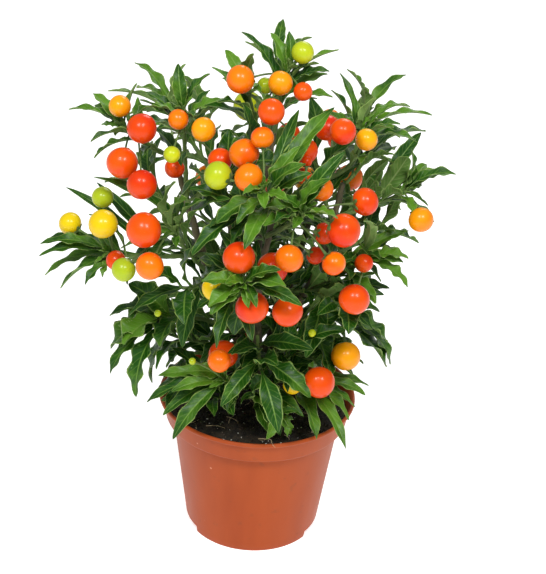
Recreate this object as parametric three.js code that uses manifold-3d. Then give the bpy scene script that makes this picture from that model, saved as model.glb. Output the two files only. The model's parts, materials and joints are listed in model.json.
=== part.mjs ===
// A potted Jerusalem cherry (Solanum pseudocapsicum) in a 12 cm nursery pot.
//
// Millimetres, +Z up. The origin is the middle of the pot's underside, on the surface it stands on,
// and -Y is the plant's best side. The pot holds a block of peat, the woody stem stands in the peat,
// leafy shoots grow off the stem's branches, and each fruit hangs on a stalk from the nearest shoot.

import * as THREE from 'three';
import { mergeVertices } from 'three/addons/utils/BufferGeometryUtils.js';
import Module from 'manifold-3d';

const wasm = await Module();
wasm.setup();

// ---------------------------------------------------------------- driving dimensions

const GAP = 0.35;                 // air kept between two separate pieces

const POT = {
  height: 90,
  footRadius: 41,                 // outer radius where the pot stands
  footWidth: 4.5,                 // width of the standing ring
  footHeight: 4.5,                // the ring and the middle pad lift the floor this far
  padRadius: 9,                   // round pad under the middle of the floor
  floor: 1.5,                     // thickness of the floor
  wall: 1.1,                      // thickness of the wall
  shoulderHeight: 75,             // where the wall steps out to the collar
  shoulderRadius: 51.3,
  collarRadius: 55.5,             // outer radius at the foot of the collar
  neckRadius: 57.3,               // outer radius just under the lip
  neckHeight: 87,
  lipRadius: 60,
  notchFrom: 54,                  // the ring is open between these angles, each side of the front
  notchTo: 126,
  ribHalfAngle: 1.6,              // a thin rib stays in the middle of each opening
  drainRadius: 4,
  drainSegments: 12,
  drainRing: 24,                  // the drain holes stand on a circle of this radius
  drains: 4,
  segments: 42,
  notchSegments: 8,
};

const SOIL = {
  level: 82,
  crown: 1,                       // the middle stands this much higher than the edge
  socketRadius: 5.2,              // room for the foot of the trunk
  socketFloor: 56,
  segments: 28,
};

const TRUNK = { sides: 7, steps: 6 };
const TWIG = { sides: 6, steps: 5, base: 1.6, tip: 0.9 };
const FRUIT = { around: 8, down: 5 };

// A fruit's stalk ends short of a stem by one of the spares. It may reach any of the stations,
// which are parts of the way along each shoot.
const STALK = {
  radius: 0.7,
  sides: 5,
  spares: [1.2, 1.8, 2.6],
  stations: [0.3, 0.4, 0.5, 0.6, 0.7, 0.8, 0.9],
};

const LEAF = {
  rings: 4,
  thickness: 1.1,
  petiole: 0.8,                   // half width of the leaf's stalk
  fold: 0.35,                     // how far each half is folded up, as a part of its width
  arch: 0.14,                     // how far the midrib bows up, as a part of the leaf's length
  bladeFrom: 0.25,                // the blade starts this far along the leaf
  turns: [0, 8, 16, 26],          // degrees that a leaf may turn aside to find room
  ways: 8,                        // directions that it may turn in
  scales: [1, 0.88, 0.76],        // sizes that it may shrink to
};

// The spiral of leaves on a shoot: it starts and ends at these parts of the way along. A leaf opens
// by the first of two angles in degrees at the shoot's foot and by the second at its tip, and its
// length is the shoot's leaf length times the first or the second of two parts.
const SPIRAL = { from: 0.2, to: 0.95, opening: [68, 38], lengths: [1.1, 0.8] };

const SMALLEST_OVERLAP = 1e-6;    // cubic millimetres
const SIMPLIFY = 0.05;            // a flat face is kept flat to this distance

const GOLDEN_ANGLE = THREE.MathUtils.degToRad(137.5);

// The woody stem: a trunk that divides just above the pot into branches. Each has the points that
// it passes through and its radius at both ends.
const BRANCHES = {
  main: { through: [[0, 0, 57], [0, 0, 83], [0, 2, 110]], radii: [4.6, 4] },
  left: { through: [[0, 2, 106], [-20, -6, 140], [-36, -12, 190], [-52, -14, 245]], radii: [3.4, 1.8] },
  centre: { through: [[0, 2, 106], [-4, 2, 160], [-2, -8, 220], [2, -14, 265]], radii: [3.4, 1.7] },
  right: { through: [[0, 2, 106], [14, -2, 140], [32, -10, 180], [42, -10, 235]], radii: [3.4, 1.8] },
  front: { through: [[0, 2, 106], [-2, -22, 140], [-2, -44, 185], [4, -54, 235]], radii: [3.2, 1.7] },
  back_left: { through: [[0, 2, 106], [-14, 24, 150], [-26, 44, 205]], radii: [3, 1.8] },
  back_right: { through: [[0, 2, 106], [16, 24, 150], [30, 42, 205]], radii: [3, 1.8] },
};

// The leafy shoots. Each leaves a branch at a part of its length and ends at a tip; bow lifts (or,
// below zero, sags) its middle. leaves gives the tips of its leading leaves, each as
// [part along the shoot, x, y, z, width]; fill more leaves, of the given length and width, follow
// in a spiral.
const SHOOTS = [
  { name: 'shoot_upper_left', on: 'left', at: 1, tip: [-83, -22, 268], bow: -0.06, fill: 5, size: [30, 7],
    leaves: [[0.35, -107, -34, 271, 8], [0.6, -74, -22, 292, 7], [0.85, -110, -18, 275, 7],
      [0.9, -96, -8, 281, 7]] },
  { name: 'shoot_upper_mid_left', on: 'left', at: 0.85, tip: [-47, -28, 285], bow: 0,
    fill: 6, size: [32, 8],
    leaves: [[0.5, -69, -30, 287, 7], [0.7, -69, -18, 286, 7], [0.6, -34, -30, 286, 6],
      [0.9, -51, -20, 294, 5], [0.9, -37, -18, 300, 7]] },
  { name: 'shoot_top_left', on: 'centre', at: 0.85, tip: [-14, -28, 296], bow: 0, fill: 3, size: [30, 7],
    leaves: [[0.3, -30, -40, 291, 9], [0.4, -33, -45, 295, 9], [0.7, -5, -45, 313, 9],
      [0.6, -34, -22, 301, 7], [0.8, -30, -15, 303, 5], [0.9, -23, -22, 316, 7],
      [0.95, -17, -12, 311, 5]] },
  { name: 'shoot_top', on: 'centre', at: 1, tip: [8, -20, 304], bow: 0, fill: 4, size: [30, 8],
    leaves: [[0.5, -13, -30, 321, 9], [0.6, -1, -10, 311, 7], [0.95, 13, -14, 322, 6],
      [0.6, 30, -22, 320, 7], [0.4, 29, -12, 300, 9], [0.3, 32, -28, 293, 9], [0.2, 5, -50, 305, 5]] },
  { name: 'shoot_right_top', on: 'right', at: 1, tip: [53, -12, 273], bow: 0, fill: 5, size: [32, 8],
    leaves: [[0.3, 39, -4, 297, 7], [0.35, 50, -24, 289, 9], [0.7, 54, -10, 288, 7],
      [0.8, 70, -6, 282, 6], [0.7, 66, -18, 279, 7], [0.6, 79, -22, 278, 8]] },
  { name: 'shoot_right', on: 'right', at: 0.85, tip: [78, -18, 236], bow: -0.08, fill: 4, size: [34, 8],
    leaves: [[0.2, 63, -22, 250, 6], [0.15, 54, -14, 247, 5], [0.5, 76, -24, 259, 12],
      [0.85, 79, -12, 259, 7], [0.9, 92, -8, 255, 7], [0.95, 103, -20, 249, 9],
      [0.7, 90, -26, 237, 8], [0.6, 74, -36, 241, 9]] },
  { name: 'shoot_right_low', on: 'right', at: 0.5, tip: [60, -34, 202], bow: -0.08, fill: 5, size: [34, 9],
    leaves: [[0.5, 80, -20, 213, 9], [0.8, 76, -38, 203, 9], [0.6, 67, -52, 207, 9],
      [0.9, 81, -36, 197, 9], [0.7, 53, -64, 239, 7], [0.3, 61, -60, 199, 10]] },
  { name: 'shoot_lower_right', on: 'right', at: 0.25, tip: [52, -20, 155], bow: 0.12,
    fill: 4, size: [38, 12],
    leaves: [[0.6, 77, -30, 130, 15], [0.8, 75, -10, 116, 9], [0.3, 62, -60, 189, 9]] },
  { name: 'shoot_rim_right', on: 'main', at: 0.7, tip: [42, -34, 117], bow: 0.1, fill: 2, size: [30, 9],
    leaves: [[0.7, 66, -22, 111, 7], [0.8, 64, -30, 110, 7], [0.6, 58, -34, 103, 7],
      [0.7, 54, -46, 101, 9], [0.5, 53, -62, 94, 9], [0.4, 41, -56, 99, 12]] },
  { name: 'shoot_rim_front', on: 'main', at: 0.6, tip: [-1, -42, 108], bow: 0.1, fill: 3, size: [32, 12],
    leaves: [[0.6, 14, -56, 103, 14], [0.8, 15, -50, 91, 9], [0.5, 27, -50, 106, 10],
      [0.5, -11, -46, 101, 10]] },
  { name: 'shoot_rim_left', on: 'main', at: 0.8, tip: [-20, -50, 125], bow: 0.1, fill: 3, size: [34, 10],
    leaves: [[0.8, -64, -48, 109, 9], [0.7, -54, -52, 102, 9], [0.9, -47, -66, 95, 10],
      [0.85, -56, -36, 112, 8], [0.95, -49, -56, 121, 8]] },
  { name: 'shoot_lower_left', on: 'left', at: 0.25, tip: [-58, -22, 149], bow: 0.12,
    fill: 4, size: [38, 12],
    leaves: [[0.5, -89, -14, 147, 12], [0.7, -90, -24, 135, 20], [0.8, -87, -30, 115, 9],
      [0.9, -74, -36, 106, 10], [0.6, -64, -12, 99, 9], [0.95, -77, -36, 135, 16]] },
  { name: 'shoot_left', on: 'left', at: 0.6, tip: [-88, -36, 196], bow: -0.06, fill: 3, size: [34, 8],
    leaves: [[0.9, -126, -34, 192, 7], [0.9, -125, -28, 197, 8], [0.8, -126, -14, 194, 7],
      [0.8, -116, -40, 217, 8], [0.6, -126, -18, 172, 8], [0.7, -114, -30, 171, 9],
      [0.8, -99, -44, 179, 8], [0.5, -114, -8, 223, 5], [0.4, -96, -10, 228, 7]] },
  { name: 'shoot_left_centre', on: 'left', at: 0.5, tip: [-53, -58, 228], bow: -0.04,
    fill: 4, size: [36, 9],
    leaves: [[0.3, -92, -44, 247, 9], [0.6, -36, -56, 256, 9], [0.7, -50, -64, 255, 9],
      [0.7, -32, -66, 246, 9], [0.5, -21, -72, 251, 12], [0.8, -34, -76, 243, 9]] },
  { name: 'shoot_front_star', on: 'front', at: 0.7, tip: [-11, -88, 207], bow: 0, fill: 3, size: [36, 12],
    leaves: [[0.9, -32, -92, 211, 9], [0.8, -28, -96, 198, 10], [0.95, -20, -94, 220, 6],
      [0.95, -8, -100, 228, 9], [0.9, 9, -96, 222, 9], [0.8, -5, -98, 199, 6], [0.85, 19, -98, 199, 8]] },
  { name: 'shoot_front_up', on: 'front', at: 1, tip: [-3, -82, 259], bow: 0, fill: 3, size: [36, 9],
    leaves: [[0.9, -13, -94, 269, 5], [0.9, -1, -94, 255, 6], [0.7, -15, -88, 243, 8],
      [0.7, -29, -82, 248, 10], [0.6, 22, -66, 264, 9], [0.5, 20, -60, 275, 9], [0.4, 36, -56, 295, 10],
      [0.5, 21, -42, 288, 7]] },
  { name: 'shoot_front_right', on: 'front', at: 0.9, tip: [21, -72, 244], bow: -0.05,
    fill: 3, size: [34, 9],
    leaves: [[0.9, 6, -74, 255, 7], [0.9, -1, -80, 250, 9], [0.9, 37, -84, 247, 7],
      [0.8, 25, -72, 270, 8], [0.7, 27, -64, 281, 9], [0.5, 34, -84, 234, 8], [0.6, -1, -86, 242, 9]] },
  { name: 'shoot_back_left', on: 'back_left', at: 1, tip: [-62, 62, 250], bow: -0.08,
    fill: 12, size: [38, 9],
    leaves: [[0.6, -98, 52, 262, 9], [0.9, -84, 84, 268, 8]] },
  { name: 'shoot_back_right', on: 'back_right', at: 1, tip: [58, 60, 252], bow: -0.08,
    fill: 12, size: [38, 9],
    leaves: [[0.6, 94, 50, 258, 9], [0.9, 80, 80, 270, 8]] },
  { name: 'shoot_back_top', on: 'centre', at: 0.6, tip: [2, 46, 286], bow: -0.1, fill: 12, size: [36, 9],
    leaves: [[0.95, 4, 62, 306, 7]] },
  { name: 'shoot_back_low', on: 'main', at: 0.9, tip: [0, 66, 152], bow: 0.12, fill: 11, size: [40, 13],
    leaves: [[0.7, -36, 84, 140, 12], [0.7, 38, 82, 142, 12]] },
];

// The fruits that show best: the middle of each, its diameter and how ripe it is.
const FRUITS = [
  [-81, -29, 281, 12, 'golden'], [-68, -42, 274, 16, 'red'], [-49, -39, 279, 11, 'orange'],
  [-35, -49, 278, 13, 'golden'], [-78, -45, 255, 17, 'red'], [-51, -54, 265, 9, 'green'],
  [-66, -61, 250, 16, 'red'], [-17, -39, 303, 15, 'orange'], [0, -55, 292, 14, 'red'],
  [-4, -64, 281, 12, 'orange'], [-13, -60, 270, 16, 'orange'], [-10, -77, 264, 15, 'orange'],
  [-26, -67, 260, 15, 'green'], [-90, -33, 229, 12, 'green'], [15, -23, 314, 12, 'green'],
  [4, -36, 301, 13, 'golden'], [16, -39, 298, 10, 'red'], [38, -47, 280, 14, 'red'],
  [28, -64, 254, 13, 'orange'], [52, -55, 244, 15, 'red'], [41, -71, 234, 18, 'red'],
  [-13, -85, 222, 17, 'red'], [13, -85, 223, 15, 'orange'], [37, -74, 216, 13, 'orange'],
  [-5, -83, 192, 18, 'red'], [14, -76, 187, 17, 'red'], [50, -64, 190, 17, 'red'],
  [-22, -62, 146, 13, 'orange'], [50, -32, 136, 17, 'golden'], [35, -48, 127, 18, 'red'],
  [20, -44, 122, 11, 'golden'], [-88, -48, 220, 16, 'golden'], [-64, -70, 228, 19, 'red'],
  [-75, -66, 202, 13, 'green'], [-60, -78, 211, 15, 'orange'], [85, -35, 226, 14, 'golden'],
];

// ---------------------------------------------------------------- materials

const clay = { color: 0xbb5a30, roughness: 0.5, metalness: 0 };
const peat = { color: 0x1f1b10, roughness: 1, metalness: 0 };
const bark = { color: 0x5a5232, roughness: 0.85, metalness: 0 };
const foliage = { color: 0x35681c, roughness: 0.5, metalness: 0 };
const skins = {
  red: { color: 0xef3a03, roughness: 0.25, metalness: 0 },
  orange: { color: 0xfc6a03, roughness: 0.25, metalness: 0 },
  golden: { color: 0xfaa80b, roughness: 0.25, metalness: 0 },
  green: { color: 0xc2cb22, roughness: 0.25, metalness: 0 },
};

// ---------------------------------------------------------------- solids

const point = ([x, y, z]) => new THREE.Vector3(x, y, z);

// A closed geometry with its shared vertices merged, as a manifold solid.
function solidOf(geometry) {
  const bare = geometry.clone();
  bare.deleteAttribute('normal');
  bare.deleteAttribute('uv');
  const merged = mergeVertices(bare);
  return new wasm.Manifold(new wasm.Mesh({
    numProp: 3,
    vertProperties: new Float32Array(merged.getAttribute('position').array),
    triVerts: new Uint32Array(merged.getIndex().array),
  }));
}

function geometryOf(solid) {
  const mesh = solid.getMesh();
  const geometry = new THREE.BufferGeometry();
  geometry.setAttribute('position', new THREE.BufferAttribute(new Float32Array(mesh.vertProperties), 3));
  geometry.setIndex(new THREE.BufferAttribute(new Uint32Array(mesh.triVerts), 1));
  geometry.computeVertexNormals();
  return geometry;
}

// Moves every vertex of a geometry to where place() puts it.
function reshape(geometry, place) {
  const position = geometry.getAttribute('position');
  const vertex = new THREE.Vector3();
  for (let i = 0; i < position.count; i += 1) {
    vertex.fromBufferAttribute(position, i);
    vertex.copy(place(vertex));
    position.setXYZ(i, vertex.x, vertex.y, vertex.z);
  }
  return geometry;
}

// A solid turned about +Z from a closed [radius, z] profile.
function turned(profile, segments) {
  const outline = profile.map(([radius, z]) => new THREE.Vector2(radius, z));
  return solidOf(new THREE.LatheGeometry(outline, segments).rotateX(Math.PI / 2));
}

// A tapered round stem along a curve: a unit cylinder whose rings are carried along it.
function stem(curve, [first, last], { sides, steps }) {
  const frames = curve.computeFrenetFrames(steps, false);
  const cylinder = new THREE.CylinderGeometry(1, 1, 1, sides, steps);
  return solidOf(reshape(cylinder, ({ x, y, z }) => {
    const along = y + 0.5;
    const ring = Math.round(along * steps);
    const radius = THREE.MathUtils.lerp(first, last, along);
    return curve.getPointAt(along)
      .addScaledVector(frames.binormals[ring], x * radius)
      .addScaledVector(frames.normals[ring], z * radius);
  }));
}

function overlaps(a, b) {
  const boxA = a.boundingBox();
  const boxB = b.boundingBox();
  const apart = [0, 1, 2].some((k) => boxA.min[k] > boxB.max[k] || boxB.min[k] > boxA.max[k]);
  return !apart && a.intersect(b).volume() > SMALLEST_OVERLAP;
}

// The same solid without the extra corners that unions leave on flat faces.
const lean = (solid) => solid.asOriginal().simplify(SIMPLIFY);

// The biggest of the separate lumps of a solid.
const largest = (solid) => solid.decompose().reduce((a, b) => (b.volume() > a.volume() ? b : a));

// ---------------------------------------------------------------- pot and peat

function potSolid() {
  const { footRadius, footHeight, footWidth, floor, wall, shoulderHeight, shoulderRadius } = POT;
  const { collarRadius, neckRadius, neckHeight, lipRadius, height, padRadius, segments } = POT;
  const inside = footHeight + floor;
  const shell = turned([
    [0, 0], [padRadius, 0], [padRadius, footHeight],
    [footRadius - footWidth, footHeight], [footRadius - footWidth, 0], [footRadius, 0],
    [shoulderRadius, shoulderHeight], [collarRadius, shoulderHeight],
    [neckRadius, neckHeight], [lipRadius - 0.6, neckHeight + 0.5], [lipRadius, neckHeight + 1.4],
    [lipRadius - 0.2, height - 0.5], [lipRadius - 1, height],
    [neckRadius - wall, neckHeight - 1], [collarRadius - wall, shoulderHeight + wall],
    [shoulderRadius - wall, shoulderHeight + wall], [footRadius - wall + 0.6, inside], [0, inside],
  ], segments);
  const opened = notches().reduce((pot, notch) => pot.subtract(notch), shell);
  return drains().reduce((pot, drain) => pot.subtract(drain), opened);
}

// The standing ring is cut away on both sides, in two arcs with a thin rib between them.
function notches() {
  const { notchFrom, notchTo, notchSegments, ribHalfAngle, footHeight, footRadius, footWidth } = POT;
  const middle = (notchFrom + notchTo) / 2;
  const arcs = [[notchFrom, middle - ribHalfAngle], [middle + ribHalfAngle, notchTo]];
  const inner = footRadius - footWidth - 2;
  const outer = footRadius + 3;
  return [-1, 1].flatMap((side) => arcs.map(([from, to]) => {
    const angles = [from, to].map((angle) => THREE.MathUtils.degToRad(side * angle - 90));
    const [start, end] = side > 0 ? angles : angles.reverse();
    const outline = new THREE.Shape();
    outline.absarc(0, 0, outer, start, end, false);
    outline.absarc(0, 0, inner, end, start, true);
    const shape = { depth: footHeight + 1, bevelEnabled: false, curveSegments: notchSegments };
    return solidOf(new THREE.ExtrudeGeometry(outline, shape).translate(0, 0, -1));
  }));
}

// Round holes through the floor, on a ring about its middle.
function drains() {
  const { drains: count, drainRing, drainRadius, drainSegments, footHeight, floor } = POT;
  return Array.from({ length: count }, (_, k) => {
    const angle = ((k + 0.5) / count) * Math.PI * 2;
    const drain = new THREE.CylinderGeometry(drainRadius, drainRadius, floor * 4, drainSegments);
    drain.rotateX(Math.PI / 2);
    drain.translate(drainRing * Math.cos(angle), drainRing * Math.sin(angle), footHeight + floor / 2);
    return solidOf(drain);
  });
}

// The peat fills the pot to just below the lip, and has a socket where the trunk stands.
function soilSolid() {
  const { footRadius, footHeight, floor, wall, shoulderHeight, shoulderRadius, collarRadius } = POT;
  const ledge = shoulderHeight + wall + GAP;
  const rise = (SOIL.level - shoulderHeight) / (POT.neckHeight - shoulderHeight);
  const edge = THREE.MathUtils.lerp(collarRadius, POT.neckRadius, rise) - wall - GAP - 0.4;
  const { level, crown, socketRadius, socketFloor, segments } = SOIL;
  return turned([
    [0, footHeight + floor + GAP], [footRadius - wall + 0.2, footHeight + floor + GAP],
    [shoulderRadius - wall - GAP, ledge], [collarRadius - wall - GAP, ledge],
    [edge, level], [edge / 2, level + crown], [socketRadius, level + crown],
    [socketRadius, socketFloor], [0, socketFloor],
  ], segments);
}

// ---------------------------------------------------------------- woody stem

const branchCurve = ({ through }) => new THREE.CatmullRomCurve3(through.map(point));

function trunkSolid(extra) {
  return Object.values(BRANCHES)
    .map((branch) => stem(branchCurve(branch), branch.radii.map((radius) => radius + extra), TRUNK))
    .reduce((all, branch) => all.add(branch));
}

// ---------------------------------------------------------------- leaves

// Half the leaf's width at u, from 0 at the stem to 1 at the tip: a narrow stalk, then a long
// ellipse that is widest at the middle.
function halfWidth(u, width) {
  const blade = Math.max(0, (u - 0.1) / 0.9);
  return LEAF.petiole + (width / 2 - LEAF.petiole) * Math.sin(Math.PI * blade ** 0.85);
}

// One leaf from base to tip: a four-sided cone flattened to left edge, upper ridge, right edge and
// lower keel, with both halves folded up and the midrib arched. margin makes it that much fatter.
function leafSolid({ base, tip, width, up }, from = 0, margin = 0) {
  const length = base.distanceTo(tip);
  const along = tip.clone().sub(base).normalize();
  const lift = up.clone().addScaledVector(along, -up.dot(along)).normalize();
  const bend = base.clone().lerp(tip, 0.5).addScaledVector(lift, length * LEAF.arch * 2);
  const midrib = new THREE.QuadraticBezierCurve3(base, bend, tip.clone().addScaledVector(along, margin));
  const thickness = LEAF.thickness + 2 * margin;
  const cone = new THREE.ConeGeometry(1, 1, 4, LEAF.rings);
  return solidOf(reshape(cone, ({ x, y, z }) => {
    const u = y + 0.5;
    const scale = Math.max(1 - u, 1e-9);
    const side = u > 0.999 ? 0 : x / scale;
    const face = u > 0.999 ? 0 : z / scale;
    const place = from + (1 - from) * u;
    const half = halfWidth(place, width) + margin;
    const tangent = midrib.getTangent(place);
    const normal = lift.clone().addScaledVector(tangent, -lift.dot(tangent)).normalize();
    const across = tangent.clone().cross(normal);
    const height = Math.abs(side) * LEAF.fold * half - (thickness * (1 - face)) / 2 + margin;
    return midrib.getPoint(place).addScaledVector(across, side * half).addScaledVector(normal, height);
  }));
}

// The ways a leaf may turn aside when something is where it would be: first as it is, then tilted
// a little further each round, then the same again shorter.
function* aside({ base, tip, width, up }) {
  const reach = tip.clone().sub(base);
  const across = reach.clone().cross(up).normalize();
  const raised = across.clone().cross(reach).normalize();
  for (const scale of LEAF.scales) {
    for (const angle of LEAF.turns) {
      const ways = angle === 0 ? 1 : LEAF.ways;
      for (let k = 0; k < ways; k += 1) {
        const tilt = THREE.MathUtils.degToRad(angle);
        const turn = (k * Math.PI * 2) / ways;
        const leaned = reach.clone().multiplyScalar(scale);
        leaned.applyAxisAngle(raised, tilt * Math.cos(turn));
        leaned.applyAxisAngle(across, tilt * Math.sin(turn));
        yield { base, tip: base.clone().add(leaned), width: width * scale, up };
      }
    }
  }
}

// ---------------------------------------------------------------- shoots

function shootCurve({ on, at, tip, bow }) {
  const start = branchCurve(BRANCHES[on]).getPointAt(at);
  const end = point(tip);
  const middle = start.clone().lerp(end, 0.5);
  middle.z += bow * start.distanceTo(end);
  return new THREE.QuadraticBezierCurve3(start, middle, end);
}

// A leaf's upper side looks up, a little towards the shoot's tip and a little outwards.
function leafUp(curve, at, tip) {
  const outwards = new THREE.Vector3(tip.x, tip.y, 0).normalize();
  const forwards = curve.getTangentAt(at);
  return new THREE.Vector3(0, 0, 1).addScaledVector(forwards, 0.5).addScaledVector(outwards, 0.25);
}

function leadingLeaves({ leaves }, curve) {
  return leaves.map(([at, x, y, z, width]) => {
    const tip = new THREE.Vector3(x, y, z);
    return { base: curve.getPointAt(at), tip, width, up: leafUp(curve, at, tip) };
  });
}

// The leaves of the spiral stand off the shoot, wide apart low down and closer to it at the tip.
function spiralLeaves({ fill, size: [length, width] }, curve, first) {
  const { from, to, opening: [wide, close], lengths: [long, short] } = SPIRAL;
  return Array.from({ length: fill }, (_, k) => {
    const at = THREE.MathUtils.lerp(from, to, (k + 0.5) / fill);
    const tangent = curve.getTangentAt(at);
    const outwards = new THREE.Vector3(0, 0, 1).cross(tangent).normalize()
      .applyAxisAngle(tangent, first + k * GOLDEN_ANGLE);
    const opening = THREE.MathUtils.degToRad(THREE.MathUtils.lerp(wide, close, at));
    const heading = tangent.clone().multiplyScalar(Math.cos(opening))
      .addScaledVector(outwards, Math.sin(opening));
    const base = curve.getPointAt(at);
    const tip = base.clone().addScaledVector(heading, length * THREE.MathUtils.lerp(long, short, at));
    return { base, tip, width, up: leafUp(curve, at, tip) };
  });
}

function clearLeaf(leaf, own, others) {
  for (const trial of aside(leaf)) {
    const fat = leafSolid(trial, 0, GAP);
    const blade = leafSolid(trial, LEAF.bladeFrom, GAP);
    if (!overlaps(blade, own) && !others.some((other) => overlaps(fat, other))) {
      return leafSolid(trial);
    }
  }
  return null;
}

// ---------------------------------------------------------------- fruits

function fruitSphere([x, y, z, diameter]) {
  const ball = new THREE.SphereGeometry(diameter / 2, FRUIT.around, FRUIT.down).rotateX(Math.PI / 2);
  return solidOf(ball.translate(x, y, z));
}

// The fruit's stalk runs straight from its middle to the nearest free place on a stem.
function fruitSolid(row, stations, others) {
  const [x, y, z] = row;
  const middle = new THREE.Vector3(x, y, z);
  const ball = fruitSphere(row);
  const nearest = [...stations].sort((a, b) => a.place.distanceTo(middle) - b.place.distanceTo(middle));
  for (const { place, radius } of nearest) {
    for (const spare of STALK.spares) {
      const reach = middle.distanceTo(place) - radius - spare;
      const end = middle.clone().lerp(place, reach / middle.distanceTo(place));
      const line = new THREE.LineCurve3(middle, end);
      const [room, stalk] = [STALK.radius + GAP, STALK.radius]
        .map((thick) => stem(line, [thick, thick], { sides: STALK.sides, steps: 1 }));
      if (!others.some((other) => overlaps(room, other))) {
        return ball.add(stalk);
      }
    }
  }
  throw new Error(`no free place for the stalk of the fruit at ${row}`);
}

// ---------------------------------------------------------------- the whole plant

function meshOf(name, solid, finish) {
  const mesh = new THREE.Mesh(geometryOf(solid), new THREE.MeshStandardMaterial(finish));
  mesh.name = name;
  return mesh;
}

const pot = potSolid();
const trunk = trunkSolid(0);
const trunkRoom = trunkSolid(GAP);
const soil = soilSolid();

const shoots = SHOOTS.map((row, index) => {
  const curve = shootCurve(row);
  const twig = largest(stem(curve, [TWIG.base, TWIG.tip], TWIG).subtract(trunkRoom));
  return { row, curve, first: index * GOLDEN_ANGLE, solid: twig };
});

const stations = shoots.flatMap(({ curve }) => STALK.stations.map((at) => {
  const radius = THREE.MathUtils.lerp(TWIG.base, TWIG.tip, at);
  return { place: curve.getPointAt(at), radius };
}));

const spheres = FRUITS.map(fruitSphere);
const fruits = [];
FRUITS.forEach((row, index) => {
  const neighbours = spheres.filter((_, other) => other !== index);
  const others = [trunk, ...shoots.map(({ solid }) => solid), ...neighbours, ...fruits];
  fruits.push(fruitSolid(row, stations, others));
});

for (const listLeaves of [leadingLeaves, spiralLeaves]) {
  for (const shoot of shoots) {
    for (const leaf of listLeaves(shoot.row, shoot.curve, shoot.first)) {
      const neighbours = shoots.filter((other) => other !== shoot).map(({ solid }) => solid);
      const placed = clearLeaf(leaf, shoot.solid, [pot, soil, trunk, ...fruits, ...neighbours]);
      if (placed) {
        shoot.solid = shoot.solid.add(placed);
      }
    }
  }
}

const plant = new THREE.Group();
plant.add(meshOf('pot', pot, clay));
plant.add(meshOf('soil', soil, peat));
plant.add(meshOf('woody_stem', trunk, bark));
for (const { row, solid } of shoots) {
  plant.add(meshOf(row.name, lean(solid), foliage));
}
fruits.forEach((solid, index) => {
  const number = String(index + 1).padStart(2, '0');
  plant.add(meshOf(`berry_${number}`, solid, skins[FRUITS[index][4]]));
});

export default plant;
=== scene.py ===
"""Looks of a potted Jerusalem cherry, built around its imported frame.

Everything is in metres, +Z up, -Y towards the plant's best side. The frame's shoots say where every
leaf is: each leaf is read back from its solid and made again as a thin, wavy, veined blade. The
fruits, the trunk, the pot and the peat are likewise made again in the places that the frame holds.
"""

import json
import logging
import math
from dataclasses import dataclass, field
from enum import Enum
from typing import Iterable, Sequence

import bpy
import numpy as np
from mathutils import Matrix, Vector, kdtree


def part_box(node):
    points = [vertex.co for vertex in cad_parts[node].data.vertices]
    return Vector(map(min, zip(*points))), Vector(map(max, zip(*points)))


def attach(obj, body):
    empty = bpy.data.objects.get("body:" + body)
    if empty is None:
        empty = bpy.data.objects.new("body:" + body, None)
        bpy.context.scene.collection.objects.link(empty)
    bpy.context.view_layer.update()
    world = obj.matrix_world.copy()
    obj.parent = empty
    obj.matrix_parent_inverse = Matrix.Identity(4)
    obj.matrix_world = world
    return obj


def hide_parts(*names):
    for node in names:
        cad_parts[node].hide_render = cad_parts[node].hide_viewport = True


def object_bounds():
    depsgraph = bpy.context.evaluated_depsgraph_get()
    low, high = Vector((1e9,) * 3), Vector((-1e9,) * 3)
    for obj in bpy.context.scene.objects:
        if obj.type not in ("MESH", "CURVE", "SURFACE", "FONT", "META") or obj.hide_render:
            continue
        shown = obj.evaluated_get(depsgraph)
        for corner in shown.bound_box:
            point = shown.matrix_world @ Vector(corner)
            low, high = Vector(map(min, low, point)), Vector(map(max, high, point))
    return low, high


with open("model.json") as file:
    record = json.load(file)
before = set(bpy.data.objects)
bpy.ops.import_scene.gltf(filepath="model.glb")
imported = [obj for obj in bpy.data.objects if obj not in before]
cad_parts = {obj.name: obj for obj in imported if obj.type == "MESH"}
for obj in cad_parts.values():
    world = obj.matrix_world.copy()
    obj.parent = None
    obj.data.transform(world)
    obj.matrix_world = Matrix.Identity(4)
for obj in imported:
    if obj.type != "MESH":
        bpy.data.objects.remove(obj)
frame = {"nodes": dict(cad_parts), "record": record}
CAD_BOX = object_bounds()

MM = 0.001
UP = np.array([0.0, 0.0, 1.0])
GOLDEN_ANGLE = math.radians(137.5)

log = logging.getLogger("jerusalem_cherry")


# ---------------------------------------------------------------- mesh helpers


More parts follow.
